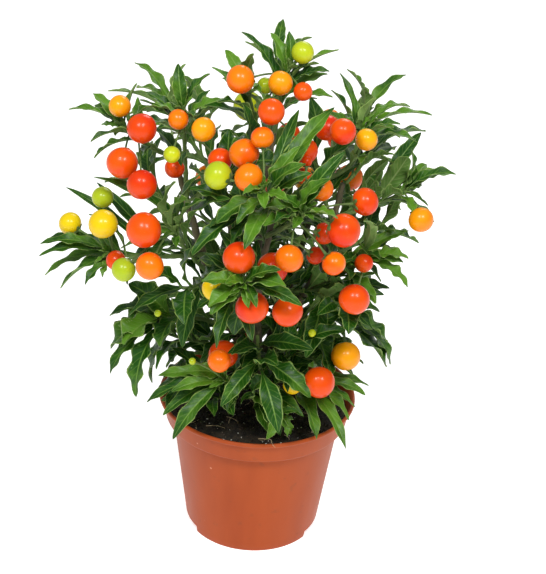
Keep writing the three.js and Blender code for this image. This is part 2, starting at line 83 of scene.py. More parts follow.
@dataclass
class Surface:
    """A mesh in numpy arrays: points, faces of four corners or three, and what varies over them."""

    points: np.ndarray
    faces: np.ndarray
    material: np.ndarray
    uv: np.ndarray | None = None
    values: dict[str, np.ndarray] = field(default_factory=dict)

    @staticmethod
    def joined(parts: Sequence["Surface"]) -> "Surface":
        """Lays several surfaces into one, with their faces counted on.

        Args:
            parts: surfaces that all carry the same kinds of values.

        Returns:
            One surface. Three-cornered faces keep -1 as their fourth corner.
        """
        starts = np.cumsum([0] + [len(part.points) for part in parts[:-1]])
        faces = [np.where(part.faces < 0, -1, part.faces + start) for part, start in zip(parts, starts)]
        names = parts[0].values.keys()
        return Surface(
            np.concatenate([part.points for part in parts]),
            np.concatenate(faces),
            np.concatenate([part.material for part in parts]),
            None if parts[0].uv is None else np.concatenate([part.uv for part in parts]),
            {name: np.concatenate([part.values[name] for part in parts]) for name in names},
        )

    def outwards(self) -> "Surface":
        """Turns every face round if the shell's volume, summed over its faces, is below zero.

        Returns:
            The same surface.
        """
        a, b, c = (self.points[self.faces[:, k]] for k in range(3))
        d = self.points[np.where(self.faces[:, 3] < 0, self.faces[:, 2], self.faces[:, 3])]
        volume = np.einsum("ij,ij->", a, np.cross(b, c)) + np.einsum("ij,ij->", a, np.cross(c, d))
        if volume < 0:
            self.faces = self.faces[:, [2, 1, 0, 3]]
        return self

    def piece(self, name: str, materials: Sequence[bpy.types.Material]) -> bpy.types.Object:
        """Makes the Blender object, smooth shaded, with its materials, UV map and attributes.

        Args:
            name: the piece's name.
            materials: the materials that the faces' numbers count.

        Returns:
            The object, at the origin.
        """
        faces = [tuple(int(corner) for corner in face if corner >= 0) for face in self.faces]
        mesh = bpy.data.meshes.new(name)
        mesh.from_pydata(self.points, [], faces)
        for material in materials:
            mesh.materials.append(material)
        mesh.polygons.foreach_set("material_index", self.material.astype(np.int32))
        mesh.polygons.foreach_set("use_smooth", np.ones(len(faces), bool))
        corners = np.empty(len(mesh.loops), np.int32)
        mesh.loops.foreach_get("vertex_index", corners)
        if self.uv is not None:
            layer = mesh.uv_layers.new(name="UVMap")
            layer.data.foreach_set("uv", self.uv[corners].astype(np.float32).ravel())
        for label, numbers in self.values.items():
            attribute = mesh.attributes.new(label, "FLOAT", "POINT")
            attribute.data.foreach_set("value", numbers.astype(np.float32))
        mesh.update()
        made = bpy.data.objects.new(name, mesh)
        bpy.context.scene.collection.objects.link(made)
        return made


def unit(vectors: np.ndarray) -> np.ndarray:
    """The vectors at length one, along the last axis."""
    return vectors / np.maximum(np.linalg.norm(vectors, axis=-1, keepdims=True), 1e-12)


def smooth_step(low: float, high: float, x: np.ndarray) -> np.ndarray:
    """0 below low, 1 above high, and 3t^2 - 2t^3 between them."""
    t = np.clip((x - low) / (high - low), 0, 1)
    return t * t * (3 - 2 * t)


def grid_faces(rows: int, columns: int, around: bool) -> np.ndarray:
    """The four-cornered faces of a grid of points counted row by row.

    Args:
        rows: number of rows.
        columns: number of points in a row.
        around: whether the last column joins the first.

    Returns:
        An array of faces, turned so that rows x columns points outwards.
    """
    across = columns if around else columns - 1
    row, column = np.meshgrid(np.arange(rows - 1), np.arange(across), indexing="ij")
    ahead = (column + 1) % columns
    corners = [row * columns + column, row * columns + ahead,
               (row + 1) * columns + ahead, (row + 1) * columns + column]
    return np.stack(corners, -1).reshape(-1, 4)


def fan(ring: np.ndarray, middle: int, flip: bool) -> np.ndarray:
    """Three-cornered faces from a ring of points to a point in its middle.

    Args:
        ring: the ring, in order.
        middle: the point in the middle.
        flip: whether to turn the faces round.

    Returns:
        One face for each step round the ring.
    """
    ahead = np.roll(ring, -1)
    first, second = (ahead, ring) if flip else (ring, ahead)
    return np.stack([first, second, np.full_like(ring, middle), np.full_like(ring, -1)], -1)


def tube(path: np.ndarray, radii: np.ndarray, sides: int) -> tuple[np.ndarray, np.ndarray]:
    """A closed round tube: at each point of the path a circle stands square to the path, and the
    circles' first points follow one steady direction across it.

    Args:
        path: the middle line, one point a row.
        radii: the tube's radius at each point.
        sides: points on each circle.

    Returns:
        Points and faces, with a fan closing each end.
    """
    along = unit(np.gradient(path, axis=0))
    steady = np.array([0.31, 0.17, 0.94]) if abs(along[0] @ UP) < 0.9 else np.array([0.94, 0.17, 0.31])
    first = unit(np.cross(along, steady))
    second = np.cross(along, first)
    angle = np.linspace(0, 2 * np.pi, sides, endpoint=False)
    circle = np.cos(angle)[None, :, None] * first[:, None] + np.sin(angle)[None, :, None] * second[:, None]
    points = (path[:, None] + radii[:, None, None] * circle).reshape(-1, 3)
    count = len(path) * sides
    ends = [path[:1] - along[:1] * radii[0] * 0.4, path[-1:] + along[-1:] * radii[-1] * 0.6]
    points = np.concatenate([points, *ends])
    last_ring = np.arange(count - sides, count)
    body = grid_faces(len(path), sides, True)
    faces = np.concatenate([body, fan(np.arange(sides), count, True), fan(last_ring, count + 1, False)])
    return points, faces


def node_mesh(name: str) -> tuple[np.ndarray, np.ndarray]:
    """A frame node's merged points and its triangles.

    Args:
        name: the node.

    Returns:
        Points, with the ones that coincide merged, and triangles that count them.
    """
    mesh = frame["nodes"][name].data
    mesh.calc_loop_triangles()
    points = np.empty(len(mesh.vertices) * 3, np.float32)
    mesh.vertices.foreach_get("co", points)
    triangles = np.empty(len(mesh.loop_triangles) * 3, np.int32)
    mesh.loop_triangles.foreach_get("vertices", triangles)
    points = points.reshape(-1, 3).astype(float)
    keys = np.round(points / (MM * 0.002)).astype(np.int64)
    _, first, merged = np.unique(keys, axis=0, return_index=True, return_inverse=True)
    triangles = merged.ravel()[triangles].reshape(-1, 3)
    proper = ((triangles[:, 0] != triangles[:, 1]) & (triangles[:, 1] != triangles[:, 2])
              & (triangles[:, 0] != triangles[:, 2]))
    return points[first], triangles[proper]


# ---------------------------------------------------------------- finishes


class Ripeness(Enum):
    """How ripe a fruit is."""

    RED = "red"
    ORANGE = "orange"
    GOLDEN = "golden"
    LEMON = "lemon"
    GREEN = "green"

    @property
    def slot(self) -> str:
        """The record's slot for a skin of this ripeness; lemon fruits share the golden one."""
        return "berry_golden" if self is Ripeness.LEMON else f"berry_{self.value}"


Colour = tuple[float, float, float]


class Bench:
    """A small workbench for a node tree: it adds nodes, sets their values and joins them."""

    def __init__(self, tree: bpy.types.NodeTree) -> None:
        """Takes the tree that the nodes go into."""
        self.tree = tree

    def add(self, kind: str, inputs: dict | None = None, **settings: object) -> bpy.types.Node:
        """Adds a node.

        Args:
            kind: the node's type name.
            inputs: for each input socket, a socket to join to it or a value.
            settings: the node's own properties.

        Returns:
            The new node.
        """
        node = self.tree.nodes.new(kind)
        for label, value in settings.items():
            setattr(node, label, value)
        for key, value in (inputs or {}).items():
            self.feed(node.inputs[key], value)
        return node

    def feed(self, socket: bpy.types.NodeSocket, value: object) -> None:
        """Joins another node's output to a socket, or sets the socket's value."""
        if isinstance(value, bpy.types.NodeSocket):
            self.tree.links.new(value, socket)
        elif isinstance(value, tuple) and len(value) == 3 and socket.type == "RGBA":
            socket.default_value = (*value, 1.0)
        else:
            socket.default_value = value

    def math(self, operation: str, *values: object) -> bpy.types.NodeSocket:
        """The result of a Math node with these inputs.

        Args:
            operation: the Math node's operation.
            values: a socket or a number for each of its inputs.

        Returns:
            The result's socket.
        """
        node = self.add("ShaderNodeMath", operation=operation)
        for socket, value in zip(node.inputs, values):
            self.feed(socket, value)
        return node.outputs[0]

    def noise(self, place: object, scale: float, detail: float = 3.0) -> bpy.types.NodeSocket:
        """A noise value at a place."""
        inputs = {"Vector": place, "Scale": scale, "Detail": detail}
        return self.add("ShaderNodeTexNoise", inputs).outputs["Fac"]

    def between(self, value: object, low: float, high: float) -> bpy.types.NodeSocket:
        """The value spread smoothly from 0 at low to 1 at high."""
        inputs = {"Value": value, "From Min": low, "From Max": high}
        return self.add("ShaderNodeMapRange", inputs, interpolation_type="SMOOTHSTEP").outputs["Result"]

    def mix(self, share: object, first: object, second: object) -> bpy.types.NodeSocket:
        """The mix of two colours.

        Args:
            share: how much of the second.
            first: the colour at 0.
            second: the colour at 1.

        Returns:
            The mixed colour's socket.
        """
        node = self.add("ShaderNodeMix", data_type="RGBA")
        self.feed(node.inputs[0], share)
        self.feed(node.inputs[6], first)
        self.feed(node.inputs[7], second)
        return node.outputs[2]


def mottle_group() -> bpy.types.NodeTree:
    """A node group that mixes two colours in soft cloudy patches with finer specks on them.

    Returns:
        The group: Vector, Size, Dark, Light and Bias in, Colour and Mask out.
    """
    group = bpy.data.node_groups.new("mottle", "ShaderNodeTree")
    for label, kind in (("Vector", "NodeSocketVector"), ("Size", "NodeSocketFloat"),
                        ("Dark", "NodeSocketColor"), ("Light", "NodeSocketColor"),
                        ("Bias", "NodeSocketFloat")):
        group.interface.new_socket(label, in_out="INPUT", socket_type=kind)
    group.interface.new_socket("Colour", in_out="OUTPUT", socket_type="NodeSocketColor")
    group.interface.new_socket("Mask", in_out="OUTPUT", socket_type="NodeSocketFloat")
    bench = Bench(group)
    entry = bench.add("NodeGroupInput")
    coarse = bench.add("ShaderNodeTexNoise", {"Vector": entry.outputs["Vector"],
                                              "Scale": entry.outputs["Size"], "Detail": 2.0})
    finer = bench.math("MULTIPLY", entry.outputs["Size"], 6.0)
    fine = bench.add("ShaderNodeTexNoise", {"Vector": entry.outputs["Vector"], "Scale": finer, "Detail": 4.0})
    blend = bench.math("MULTIPLY_ADD", fine.outputs["Fac"], 0.35, coarse.outputs["Fac"])
    shifted = bench.math("ADD", blend, entry.outputs["Bias"])
    mask = bench.between(shifted, 0.45, 0.95)
    colour = bench.mix(mask, entry.outputs["Dark"], entry.outputs["Light"])
    bench.add("NodeGroupOutput", {"Colour": colour, "Mask": mask})
    return group


def vein_group() -> bpy.types.NodeTree:
    """A node group that draws a leaf's veins and margin from its UV map: the midrib along the
    middle, side veins that leave it slanting forwards, and the rim.

    Returns:
        The group: UV in, Midrib, Veins and Margin out, each a mask from 0 to 1.
    """
    group = bpy.data.node_groups.new("leaf_veins", "ShaderNodeTree")
    group.interface.new_socket("UV", in_out="INPUT", socket_type="NodeSocketVector")
    for label in ("Midrib", "Veins", "Margin"):
        group.interface.new_socket(label, in_out="OUTPUT", socket_type="NodeSocketFloat")
    bench = Bench(group)
    entry = bench.add("NodeGroupInput")
    split = bench.add("ShaderNodeSeparateXYZ", {"Vector": entry.outputs["UV"]})
    centred = bench.math("SUBTRACT", split.outputs["Y"], 0.5)
    away = bench.math("MULTIPLY", bench.math("ABSOLUTE", centred), 2.0)
    midrib = bench.between(away, 0.11, 0.03)
    slant = bench.math("MULTIPLY_ADD", away, -0.16, split.outputs["X"])
    wobble = bench.math("MULTIPLY_ADD", bench.noise(entry.outputs["UV"], 5.0), 0.03, slant)
    comb = bench.math("PINGPONG", bench.math("MULTIPLY", wobble, 11.0), 0.5)
    line = bench.between(comb, 0.13, 0.02)
    veins = bench.math("MULTIPLY", line, bench.between(away, 1.0, 0.75))
    margin = bench.between(away, 0.84, 0.97)
    bench.add("NodeGroupOutput", {"Midrib": midrib, "Veins": veins, "Margin": margin})
    return group


MOTTLE = mottle_group()
VEINS = vein_group()


def shader(name: str) -> tuple[bpy.types.Material, Bench, bpy.types.Node]:
    """A new material with an empty Principled BSDF joined to its output.

    Args:
        name: the material's name.

    Returns:
        The material, a bench on its tree and the BSDF.
    """
    material = bpy.data.materials.new(name)
    material.use_nodes = True
    material.node_tree.nodes.clear()
    bench = Bench(material.node_tree)
    bsdf = bench.add("ShaderNodeBsdfPrincipled")
    bench.add("ShaderNodeOutputMaterial", {"Surface": bsdf.outputs[0]})
    return material, bench, bsdf


@dataclass(frozen=True)
class LeafFinish:
    """One face of a leaf: its colours, how much its veins show and how it shines."""

    name: str
    dark: Colour
    light: Colour
    vein: Colour
    margin: Colour
    vein_share: float
    relief: float
    roughness: float

    def material(self) -> bpy.types.Material:
        """Builds the material: mottled green, veined by the UV map, toned leaf by leaf.

        Returns:
            The material.
        """
        material, bench, bsdf = shader(self.name)
        place = bench.add("ShaderNodeTexCoord").outputs
        tone = bench.add("ShaderNodeAttribute", attribute_name="tone").outputs["Fac"]
        veins = bench.add("ShaderNodeGroup", {"UV": place["UV"]}, node_tree=VEINS).outputs
        # the tone attribute moves the mottle lighter or darker: random tone, paler young leaves, and painted
        # shade on the inner leaves
        bias = bench.math("MULTIPLY_ADD", tone, 0.75, -0.4)
        spread = {"Vector": place["Object"], "Size": 70.0, "Dark": self.dark, "Light": self.light,
                  "Bias": bias}
        patch = bench.add("ShaderNodeGroup", spread, node_tree=MOTTLE).outputs
        faint = bench.math("MULTIPLY", veins["Veins"], self.vein_share)
        drawn = bench.math("MAXIMUM", faint, veins["Midrib"])
        veined = bench.mix(bench.math("MULTIPLY", drawn, 0.75), patch["Colour"], self.vein)
        colour = bench.mix(bench.math("MULTIPLY", veins["Margin"], 0.8), veined, self.margin)
        bench.feed(bsdf.inputs["Base Color"], colour)
        shine = bench.math("MULTIPLY_ADD", bench.noise(place["Object"], 400.0), 0.2, self.roughness - 0.1)
        bench.feed(bsdf.inputs["Roughness"], shine)
        grain = bench.noise(place["Object"], 1500.0)
        height = bench.math("MULTIPLY_ADD", veins["Veins"], self.relief, bench.math("MULTIPLY", grain, 0.25))
        bump = bench.add("ShaderNodeBump", {"Height": height, "Strength": 0.45, "Distance": 0.4 * MM})
        bench.feed(bsdf.inputs["Normal"], bump.outputs[0])
        bsdf.inputs["Specular IOR Level"].default_value = 0.28
        return material


@dataclass(frozen=True)
class SkinFinish:
    """A fruit's glossy skin, from its ground colour, which stays on the side that faces the lamps as painted
    light, to the colour of its blush.
    """

    ripeness: Ripeness
    ground: Colour
    blush: Colour
    shade: Colour

    def material(self) -> bpy.types.Material:
        """Builds the material: ground and blush mixed by each fruit's ripeness, laid away from the lamps so
        that the lit side keeps the ground colour as painted light; faintly dotted.

        Returns:
            The material.
        """
        material, bench, bsdf = shader(f"skin_{self.ripeness.value}")
        place = bench.add("ShaderNodeTexCoord").outputs["Object"]
        ripening = bench.add("ShaderNodeAttribute", attribute_name="ripening").outputs["Fac"]
        tone = bench.add("ShaderNodeAttribute", attribute_name="tone").outputs["Fac"]
        # where the attribute is low, on the side facing the lamps, the skin keeps its ground colour: painted
        # light over a real blush
        cloud = bench.math("MULTIPLY_ADD", bench.noise(place, 160.0), 0.3, ripening)
        skin = bench.mix(bench.between(cloud, 0.25, 1.1), self.ground, self.blush)
        toned = bench.mix(bench.math("MULTIPLY", tone, 0.55), skin, self.shade)
        dots = bench.between(bench.add("ShaderNodeTexVoronoi", {"Vector": place, "Scale": 1400.0})
                             .outputs["Distance"], 0.16, 0.05)
        colour = bench.mix(bench.math("MULTIPLY", dots, 0.12), toned, (1.0, 0.8, 0.4))
        bench.feed(bsdf.inputs["Base Color"], colour)
        shine = bench.math("MULTIPLY_ADD", bench.noise(place, 220.0), 0.1, 0.27)
        bench.feed(bsdf.inputs["Roughness"], shine)
        bump = bench.add("ShaderNodeBump", {"Height": bench.noise(place, 700.0), "Strength": 0.06,
                                            "Distance": 0.3 * MM})
        bench.feed(bsdf.inputs["Normal"], bump.outputs[0])
        bsdf.inputs["Specular IOR Level"].default_value = 0.14
        bsdf.inputs["Coat Weight"].default_value = 0.24
        bsdf.inputs["Coat Roughness"].default_value = 0.17
        return material


@dataclass(frozen=True)
class BarkFinish:
    """Stems: green when young, brown and ridged when old."""

    name: str
    dark: Colour
    light: Colour
    grain: float
    relief: float

    def material(self) -> bpy.types.Material:
        """Builds the material: streaks drawn out along +Z, cracks and a matt face.

        Returns:
            The material.
        """
        material, bench, bsdf = shader(self.name)
        place = bench.add("ShaderNodeTexCoord").outputs["Object"]
        drawn = bench.add("ShaderNodeMapping", {"Vector": place, "Scale": (1.0, 1.0, 0.25)}).outputs[0]
        patch = bench.add("ShaderNodeGroup", {"Vector": drawn, "Size": self.grain, "Dark": self.dark,
                                              "Light": self.light, "Bias": 0.0}, node_tree=MOTTLE).outputs
        bench.feed(bsdf.inputs["Base Color"], patch["Colour"])
        bench.feed(bsdf.inputs["Roughness"], bench.math("MULTIPLY_ADD", patch["Mask"], 0.2, 0.6))
        ridges = bench.noise(drawn, self.grain * 5)
        bump = bench.add("ShaderNodeBump", {"Height": ridges, "Strength": self.relief, "Distance": 0.5 * MM})
        bench.feed(bsdf.inputs["Normal"], bump.outputs[0])
        return material


@dataclass(frozen=True)
class PotFinish:
    """Moulded terracotta-coloured plastic with a satin face, faint flow marks and scuffs."""

    clay: Colour = (0.37, 0.066, 0.012)
    shade: Colour = (0.31, 0.051, 0.009)
    scuff: Colour = (0.75, 0.36, 0.22)
    dust: Colour = (0.10, 0.045, 0.022)

    def material(self) -> bpy.types.Material:
        """Builds the material: soft clouds of colour, sparse pale scuffs and a little dust.

        Returns:
            The material.
        """
        material, bench, bsdf = shader("pot_plastic")
        place = bench.add("ShaderNodeTexCoord").outputs["Object"]
        flow = bench.add("ShaderNodeMapping", {"Vector": place, "Scale": (1.0, 1.0, 0.15)}).outputs[0]
        body = bench.add("ShaderNodeGroup", {"Vector": flow, "Size": 28.0, "Dark": self.shade,
                                             "Light": self.clay, "Bias": 0.12}, node_tree=MOTTLE).outputs
        specks = bench.add("ShaderNodeTexVoronoi", {"Vector": place, "Scale": 95.0}).outputs["Distance"]
        sparse = bench.between(bench.noise(place, 45.0), 0.6, 0.68)
        scuffs = bench.math("MULTIPLY", bench.between(specks, 0.09, 0.03), sparse)
        scuffed = bench.mix(bench.math("MULTIPLY", scuffs, 0.8), body["Colour"], self.scuff)
        grime = bench.math("MULTIPLY", bench.between(bench.noise(place, 150.0, 6.0), 0.62, 0.75), 0.25)
        bench.feed(bsdf.inputs["Base Color"], bench.mix(grime, scuffed, self.dust))
        wear = bench.math("MULTIPLY_ADD", bench.noise(flow, 90.0), 0.18, 0.36)
        bench.feed(bsdf.inputs["Roughness"], wear)
        fine = bench.math("MULTIPLY", bench.noise(place, 2500.0), 0.3)
        grain = bench.math("ADD", bench.noise(flow, 60.0), fine)
        bump = bench.add("ShaderNodeBump", {"Height": grain, "Strength": 0.12, "Distance": 0.3 * MM})
        bench.feed(bsdf.inputs["Normal"], bump.outputs[0])
        bsdf.inputs["Specular IOR Level"].default_value = 0.16
        return material


@dataclass(frozen=True)
class GritFinish:
    """Something crumbly in or on the peat: two colours in specks, matt, with a rough face."""

    name: str
    dark: Colour
    light: Colour
    speck: Colour
    size: float
    relief: float

    def material(self) -> bpy.types.Material:
        """Builds the material.

        Returns:
            The material.
        """
        material, bench, bsdf = shader(self.name)
        place = bench.add("ShaderNodeTexCoord").outputs["Object"]
        patch = bench.add("ShaderNodeGroup", {"Vector": place, "Size": self.size, "Dark": self.dark,
                                              "Light": self.light, "Bias": 0.0}, node_tree=MOTTLE).outputs
        bench.feed(bsdf.inputs["Roughness"], bench.math("MULTIPLY_ADD", patch["Mask"], 0.15, 0.8))
        crumbs = bench.noise(place, self.size * 4, 8.0)
        grains = bench.add("ShaderNodeTexVoronoi", {"Vector": place, "Scale": self.size * 5}).outputs
        speck = bench.math("MULTIPLY", bench.between(grains["Distance"], 0.30, 0.12),
                           bench.between(bench.noise(place, self.size * 2), 0.52, 0.60))
        bench.feed(bsdf.inputs["Base Color"], bench.mix(speck, patch["Colour"], self.speck))
        bump = bench.add("ShaderNodeBump", {"Height": crumbs, "Strength": self.relief, "Distance": 1.0 * MM})
        bench.feed(bsdf.inputs["Normal"], bump.outputs[0])
        return material


class Paints:
    """Every material of the plant, each made once."""

    def __init__(self) -> None:
        """Makes the materials from their finishes."""
        self.leaf = [
            LeafFinish("leaf_upper", (0.009, 0.062, 0.001), (0.088, 0.215, 0.012), (0.15, 0.28, 0.04),
                       (0.33, 0.47, 0.11), 0.35, -0.8, 0.40).material(),
            LeafFinish("leaf_under", (0.085, 0.19, 0.030), (0.19, 0.31, 0.08), (0.28, 0.38, 0.13),
                       (0.33, 0.47, 0.13), 0.5, 0.9, 0.62).material(),
        ]
        young = BarkFinish("green_stem", (0.060, 0.115, 0.022), (0.15, 0.24, 0.055), 200.0, 0.25)
        self.green = young.material()
        self.bark = BarkFinish("bark", (0.040, 0.036, 0.016), (0.135, 0.115, 0.055), 260.0, 0.6).material()
        self.pot = PotFinish().material()
        self.peat = GritFinish("peat", (0.006, 0.0045, 0.003), (0.040, 0.027, 0.015), (0.20, 0.13, 0.07),
                               190.0, 1.0).material()
        self.perlite = GritFinish("perlite", (0.55, 0.52, 0.45), (0.85, 0.84, 0.78), (0.4, 0.36, 0.3),
                                  500.0, 0.5).material()
        self.straw = GritFinish("straw", (0.42, 0.30, 0.16), (0.70, 0.56, 0.36), (0.3, 0.2, 0.1),
                                400.0, 0.3).material()
        skins = (
            SkinFinish(Ripeness.RED, (0.80, 0.092, 0.001), (0.71, 0.029, 0.001), (0.54, 0.010, 0.001)),
            SkinFinish(Ripeness.ORANGE, (0.84, 0.20, 0.001), (0.81, 0.095, 0.001), (0.79, 0.066, 0.001)),
            SkinFinish(Ripeness.GOLDEN, (0.85, 0.42, 0.002), (0.86, 0.26, 0.002), (0.82, 0.19, 0.002)),
            SkinFinish(Ripeness.LEMON, (0.70, 0.60, 0.006), (0.76, 0.50, 0.003), (0.78, 0.42, 0.003)),
            SkinFinish(Ripeness.GREEN, (0.42, 0.50, 0.012), (0.60, 0.60, 0.012), (0.27, 0.42, 0.016)),
        )
        self.skin = {skin.ripeness: skin.material() for skin in skins}


# ---------------------------------------------------------------- leaves


@dataclass
class LeafForm:
    """One leaf: the three points of its midrib's curve, its width and the way its upper side looks."""

    base: np.ndarray
    bend: np.ndarray
    tip: np.ndarray
    width: float
    up: np.ndarray
    # 1 for the youngest leaves, which are paler; below 0 for the inner leaves, whose green is darkened as
    # painted shade
    age_and_shade: float = 0.0

    @staticmethod
    def arched(base: np.ndarray, tip: np.ndarray, width: float, up: np.ndarray, arch: float,
               age_and_shade: float = 0.0) -> "LeafForm":
        """A leaf from base to tip whose midrib bows up by a part of its length.

        Args:
            base: where it leaves the twig.
            tip: its far end.
            width: its width.
            up: the way that its upper side looks.
            arch: how far its midrib bows up, as a part of its length.
            age_and_shade: 1 for the youngest, which are paler; below 0 for the inner leaves, whose green is
                darkened as painted shade.

        Returns:
            The leaf.
        """
        reach = tip - base
        lift = unit(up - unit(reach) * (up @ unit(reach)))
        bend = (base + tip) / 2 + lift * np.linalg.norm(reach) * arch * 2
        return LeafForm(base, bend, tip, width, lift, age_and_shade)

    def midrib(self, u: np.ndarray) -> np.ndarray:
        """Points of the midrib: the quadratic curve through base and tip, pulled towards bend."""
        u = u[:, None]
        return (1 - u) ** 2 * self.base + 2 * u * (1 - u) * self.bend + u ** 2 * self.tip

    def samples(self) -> np.ndarray:
        """Points spread over the blade, to test what it comes near.

        Returns:
            The points.
        """
        u = np.linspace(0.25, 1, 9)
        along = unit(self.tip - self.base)
        across = np.cross(along, self.up)
        half = self.width / 2 * np.sin(np.pi * u ** 0.9)[:, None]
        middle = self.midrib(u)
        return np.concatenate([middle, middle + across * half * 0.9, middle - across * half * 0.9])


@dataclass(frozen=True)
class Blade:
    """How a leaf's blade is made: the grid and the sizes of its folds and waves."""

    rows: int = 25
    breadth: float = 1.04
    thickness: float = 0.32 * MM
    petiole: float = 0.75 * MM
    fold: float = 0.36
    groove: float = 0.22 * MM
    waves: float = 3.3
    wave_height: float = 0.29
    scallop: float = 0.045
    twist: float = 0.35
    curl: float = 0.025

    @property
    def columns(self) -> np.ndarray:
        """Places across the blade, from one margin at -1 to the other at 1."""
        return np.array([-1, -0.84, -0.5, -0.12, 0, 0.12, 0.5, 0.84, 1])

    def surface(self, forms: Sequence[LeafForm], seed: int) -> Surface:
        """Makes all the leaves of one piece at once, each a closed thin shell.

        With u from stalk to tip and v across, a point stands on the midrib's curve, plus v times the
        half width sideways, plus along the leaf's normal: the fold (a V softened at the middle), the
        margins' waves (a sine in u that grows with v squared), less the midrib's groove. The half
        width grows from the stalk by a smooth step and ends in a blunt point. The under side lies a
        thickness below the upper, and both meet at the margins. The section turns a little about the
        midrib on the way to the tip.

        Args:
            forms: the leaves.
            seed: start of the leaves' own variation.

        Returns:
            The surface: material 0 above and 1 below, UV along and across, and tone leaf by leaf.
        """
        draw = np.random.default_rng(seed)
        count = len(forms)
        u = 1 - (1 - np.linspace(0, 1, self.rows)) ** 1.25
        v = self.columns
        base, bend, tip, up = (np.array([getattr(form, label) for form in forms])[:, None]
                               for label in ("base", "bend", "tip", "up"))
        width = np.array([form.width for form in forms])[:, None] * self.breadth
        age_and_shade = np.array([form.age_and_shade for form in forms])
        phase, turn = draw.uniform(0, 2 * np.pi, (2, count, 1, 1))
        # tone: random, paler on young leaves, and darker on the inner leaves as painted shade
        tone = np.clip(draw.uniform(0, 0.62, count) + 0.45 * age_and_shade * np.abs(age_and_shade), 0, 1)
        pace = self.waves * draw.uniform(0.75, 1.3, (count, 1, 1))
        place = u[None, :, None]
        middle = (1 - place) ** 2 * base + 2 * place * (1 - place) * bend + place ** 2 * tip
        length = np.linalg.norm(tip - base, axis=-1)[..., None]
        middle = middle - up * length * self.curl * place ** 4 * (1.0 + np.sin(turn))
        along = unit(np.gradient(middle, axis=1))
        normal = unit(up - along * (up * along).sum(-1, keepdims=True))
        across = np.cross(along, normal)
        spin = self.twist * np.sin(turn) * place ** 1.5
        normal, across = (normal * np.cos(spin) + across * np.sin(spin),
                          across * np.cos(spin) - normal * np.sin(spin))
        blade = np.clip((u - 0.1) / 0.9, 0, 1)
        shape = smooth_step(0.0, 0.5, blade) ** 0.75 * np.clip(1 - blade ** 2.4, 0, 1) ** 0.74 * 1.13
        half = self.petiole * (1 - 0.9 * smooth_step(0.75, 1, u)) + (width / 2 - self.petiole) * shape
        half = half[:, :, None]
        side = v[None, None, :]
        ripple = np.sin(2 * np.pi * pace * place + phase + 1.3 * np.sign(side))
        grown = smooth_step(0.12, 0.35, u)[None, :, None]
        swing = np.sin(2 * np.pi * 1.7 * pace * place + phase * 2)
        reach = side * half * (1 + self.scallop * grown * swing * np.abs(side))
        rise = (self.fold * half * np.sqrt(side ** 2 + 0.01)
                + self.wave_height * half * grown * side ** 2 * ripple
                - self.groove * grown * np.exp(-(side / 0.12) ** 2))
        top = (middle[:, :, None] + across[:, :, None] * reach[..., None]
               + normal[:, :, None] * rise[..., None])
        depth = (self.thickness + 0.9 * MM * (1 - smooth_step(0.0, 0.22, u)))[None, :, None]
        fuller = 1 + 0.8 * np.exp(-(side / 0.14) ** 2)
        inside = (1 - side ** 4) * depth * fuller * (half / half.max(1, keepdims=True)) ** 0.2
        low = top[:, :, 1:-1] - normal[:, :, None] * inside[:, :, 1:-1, None]
        return self._shell(top, low, u, v, tone)

    def _shell(self, top: np.ndarray, low: np.ndarray, u: np.ndarray, v: np.ndarray,
               tone: np.ndarray) -> Surface:
        """Joins the upper and under grids of every leaf into closed shells.

        Args:
            top: the upper grids.
            low: the under grids, without their margins.
            u: places along the blade.
            v: places across the blade.
            tone: each leaf's tone.

        Returns:
            One surface with every leaf.
        """
        count, rows, columns = top.shape[:3]
        inner = columns - 2
        size = rows * (columns + inner)
        points = np.concatenate([top.reshape(count, -1, 3), low.reshape(count, -1, 3)], 1)
        upper = np.arange(rows * columns).reshape(rows, columns)
        under = upper.copy()
        under[:, 1:-1] = rows * columns + np.arange(rows * inner).reshape(rows, inner)
        faces_up = grid_faces(rows, columns, False)[:, ::-1]
        faces_low = under.ravel()[grid_faces(rows, columns, False)]
        ends = [self._end(upper[0], under[0]), self._end(upper[-1], under[-1])[:, [2, 1, 0, 3]]]
        local = np.concatenate([faces_up, faces_low, *ends])
        shift = np.arange(count)[:, None, None] * size
        faces = np.where(local[None] < 0, -1, local[None] + shift).reshape(-1, 4)
        kinds = np.concatenate([np.zeros(len(faces_up)), np.ones(len(local) - len(faces_up))])
        across = np.concatenate([np.tile(v, rows), np.tile(v[1:-1], rows)])
        along = np.concatenate([np.repeat(u, columns), np.repeat(u, inner)])
        uv = np.tile(np.stack([along, across / 2 + 0.5], -1), (count, 1))
        return Surface(points.reshape(-1, 3), faces, np.tile(kinds, count), uv,
                       {"tone": np.repeat(tone, size)}).outwards()

    @staticmethod
    def _end(above: np.ndarray, below: np.ndarray) -> np.ndarray:
        """The faces that close one end of a shell, three-cornered where its two rows meet.

        Args:
            above: the upper row's points.
            below: the under row's points; its first and last are the upper row's own.

        Returns:
            One face for each step along the rows.
        """
        strip = np.stack([above[:-1], above[1:], below[1:], below[:-1]], -1)
        strip[0, 3] = -1
        strip[-1] = [above[-2], above[-1], below[-2], -1]
        return strip


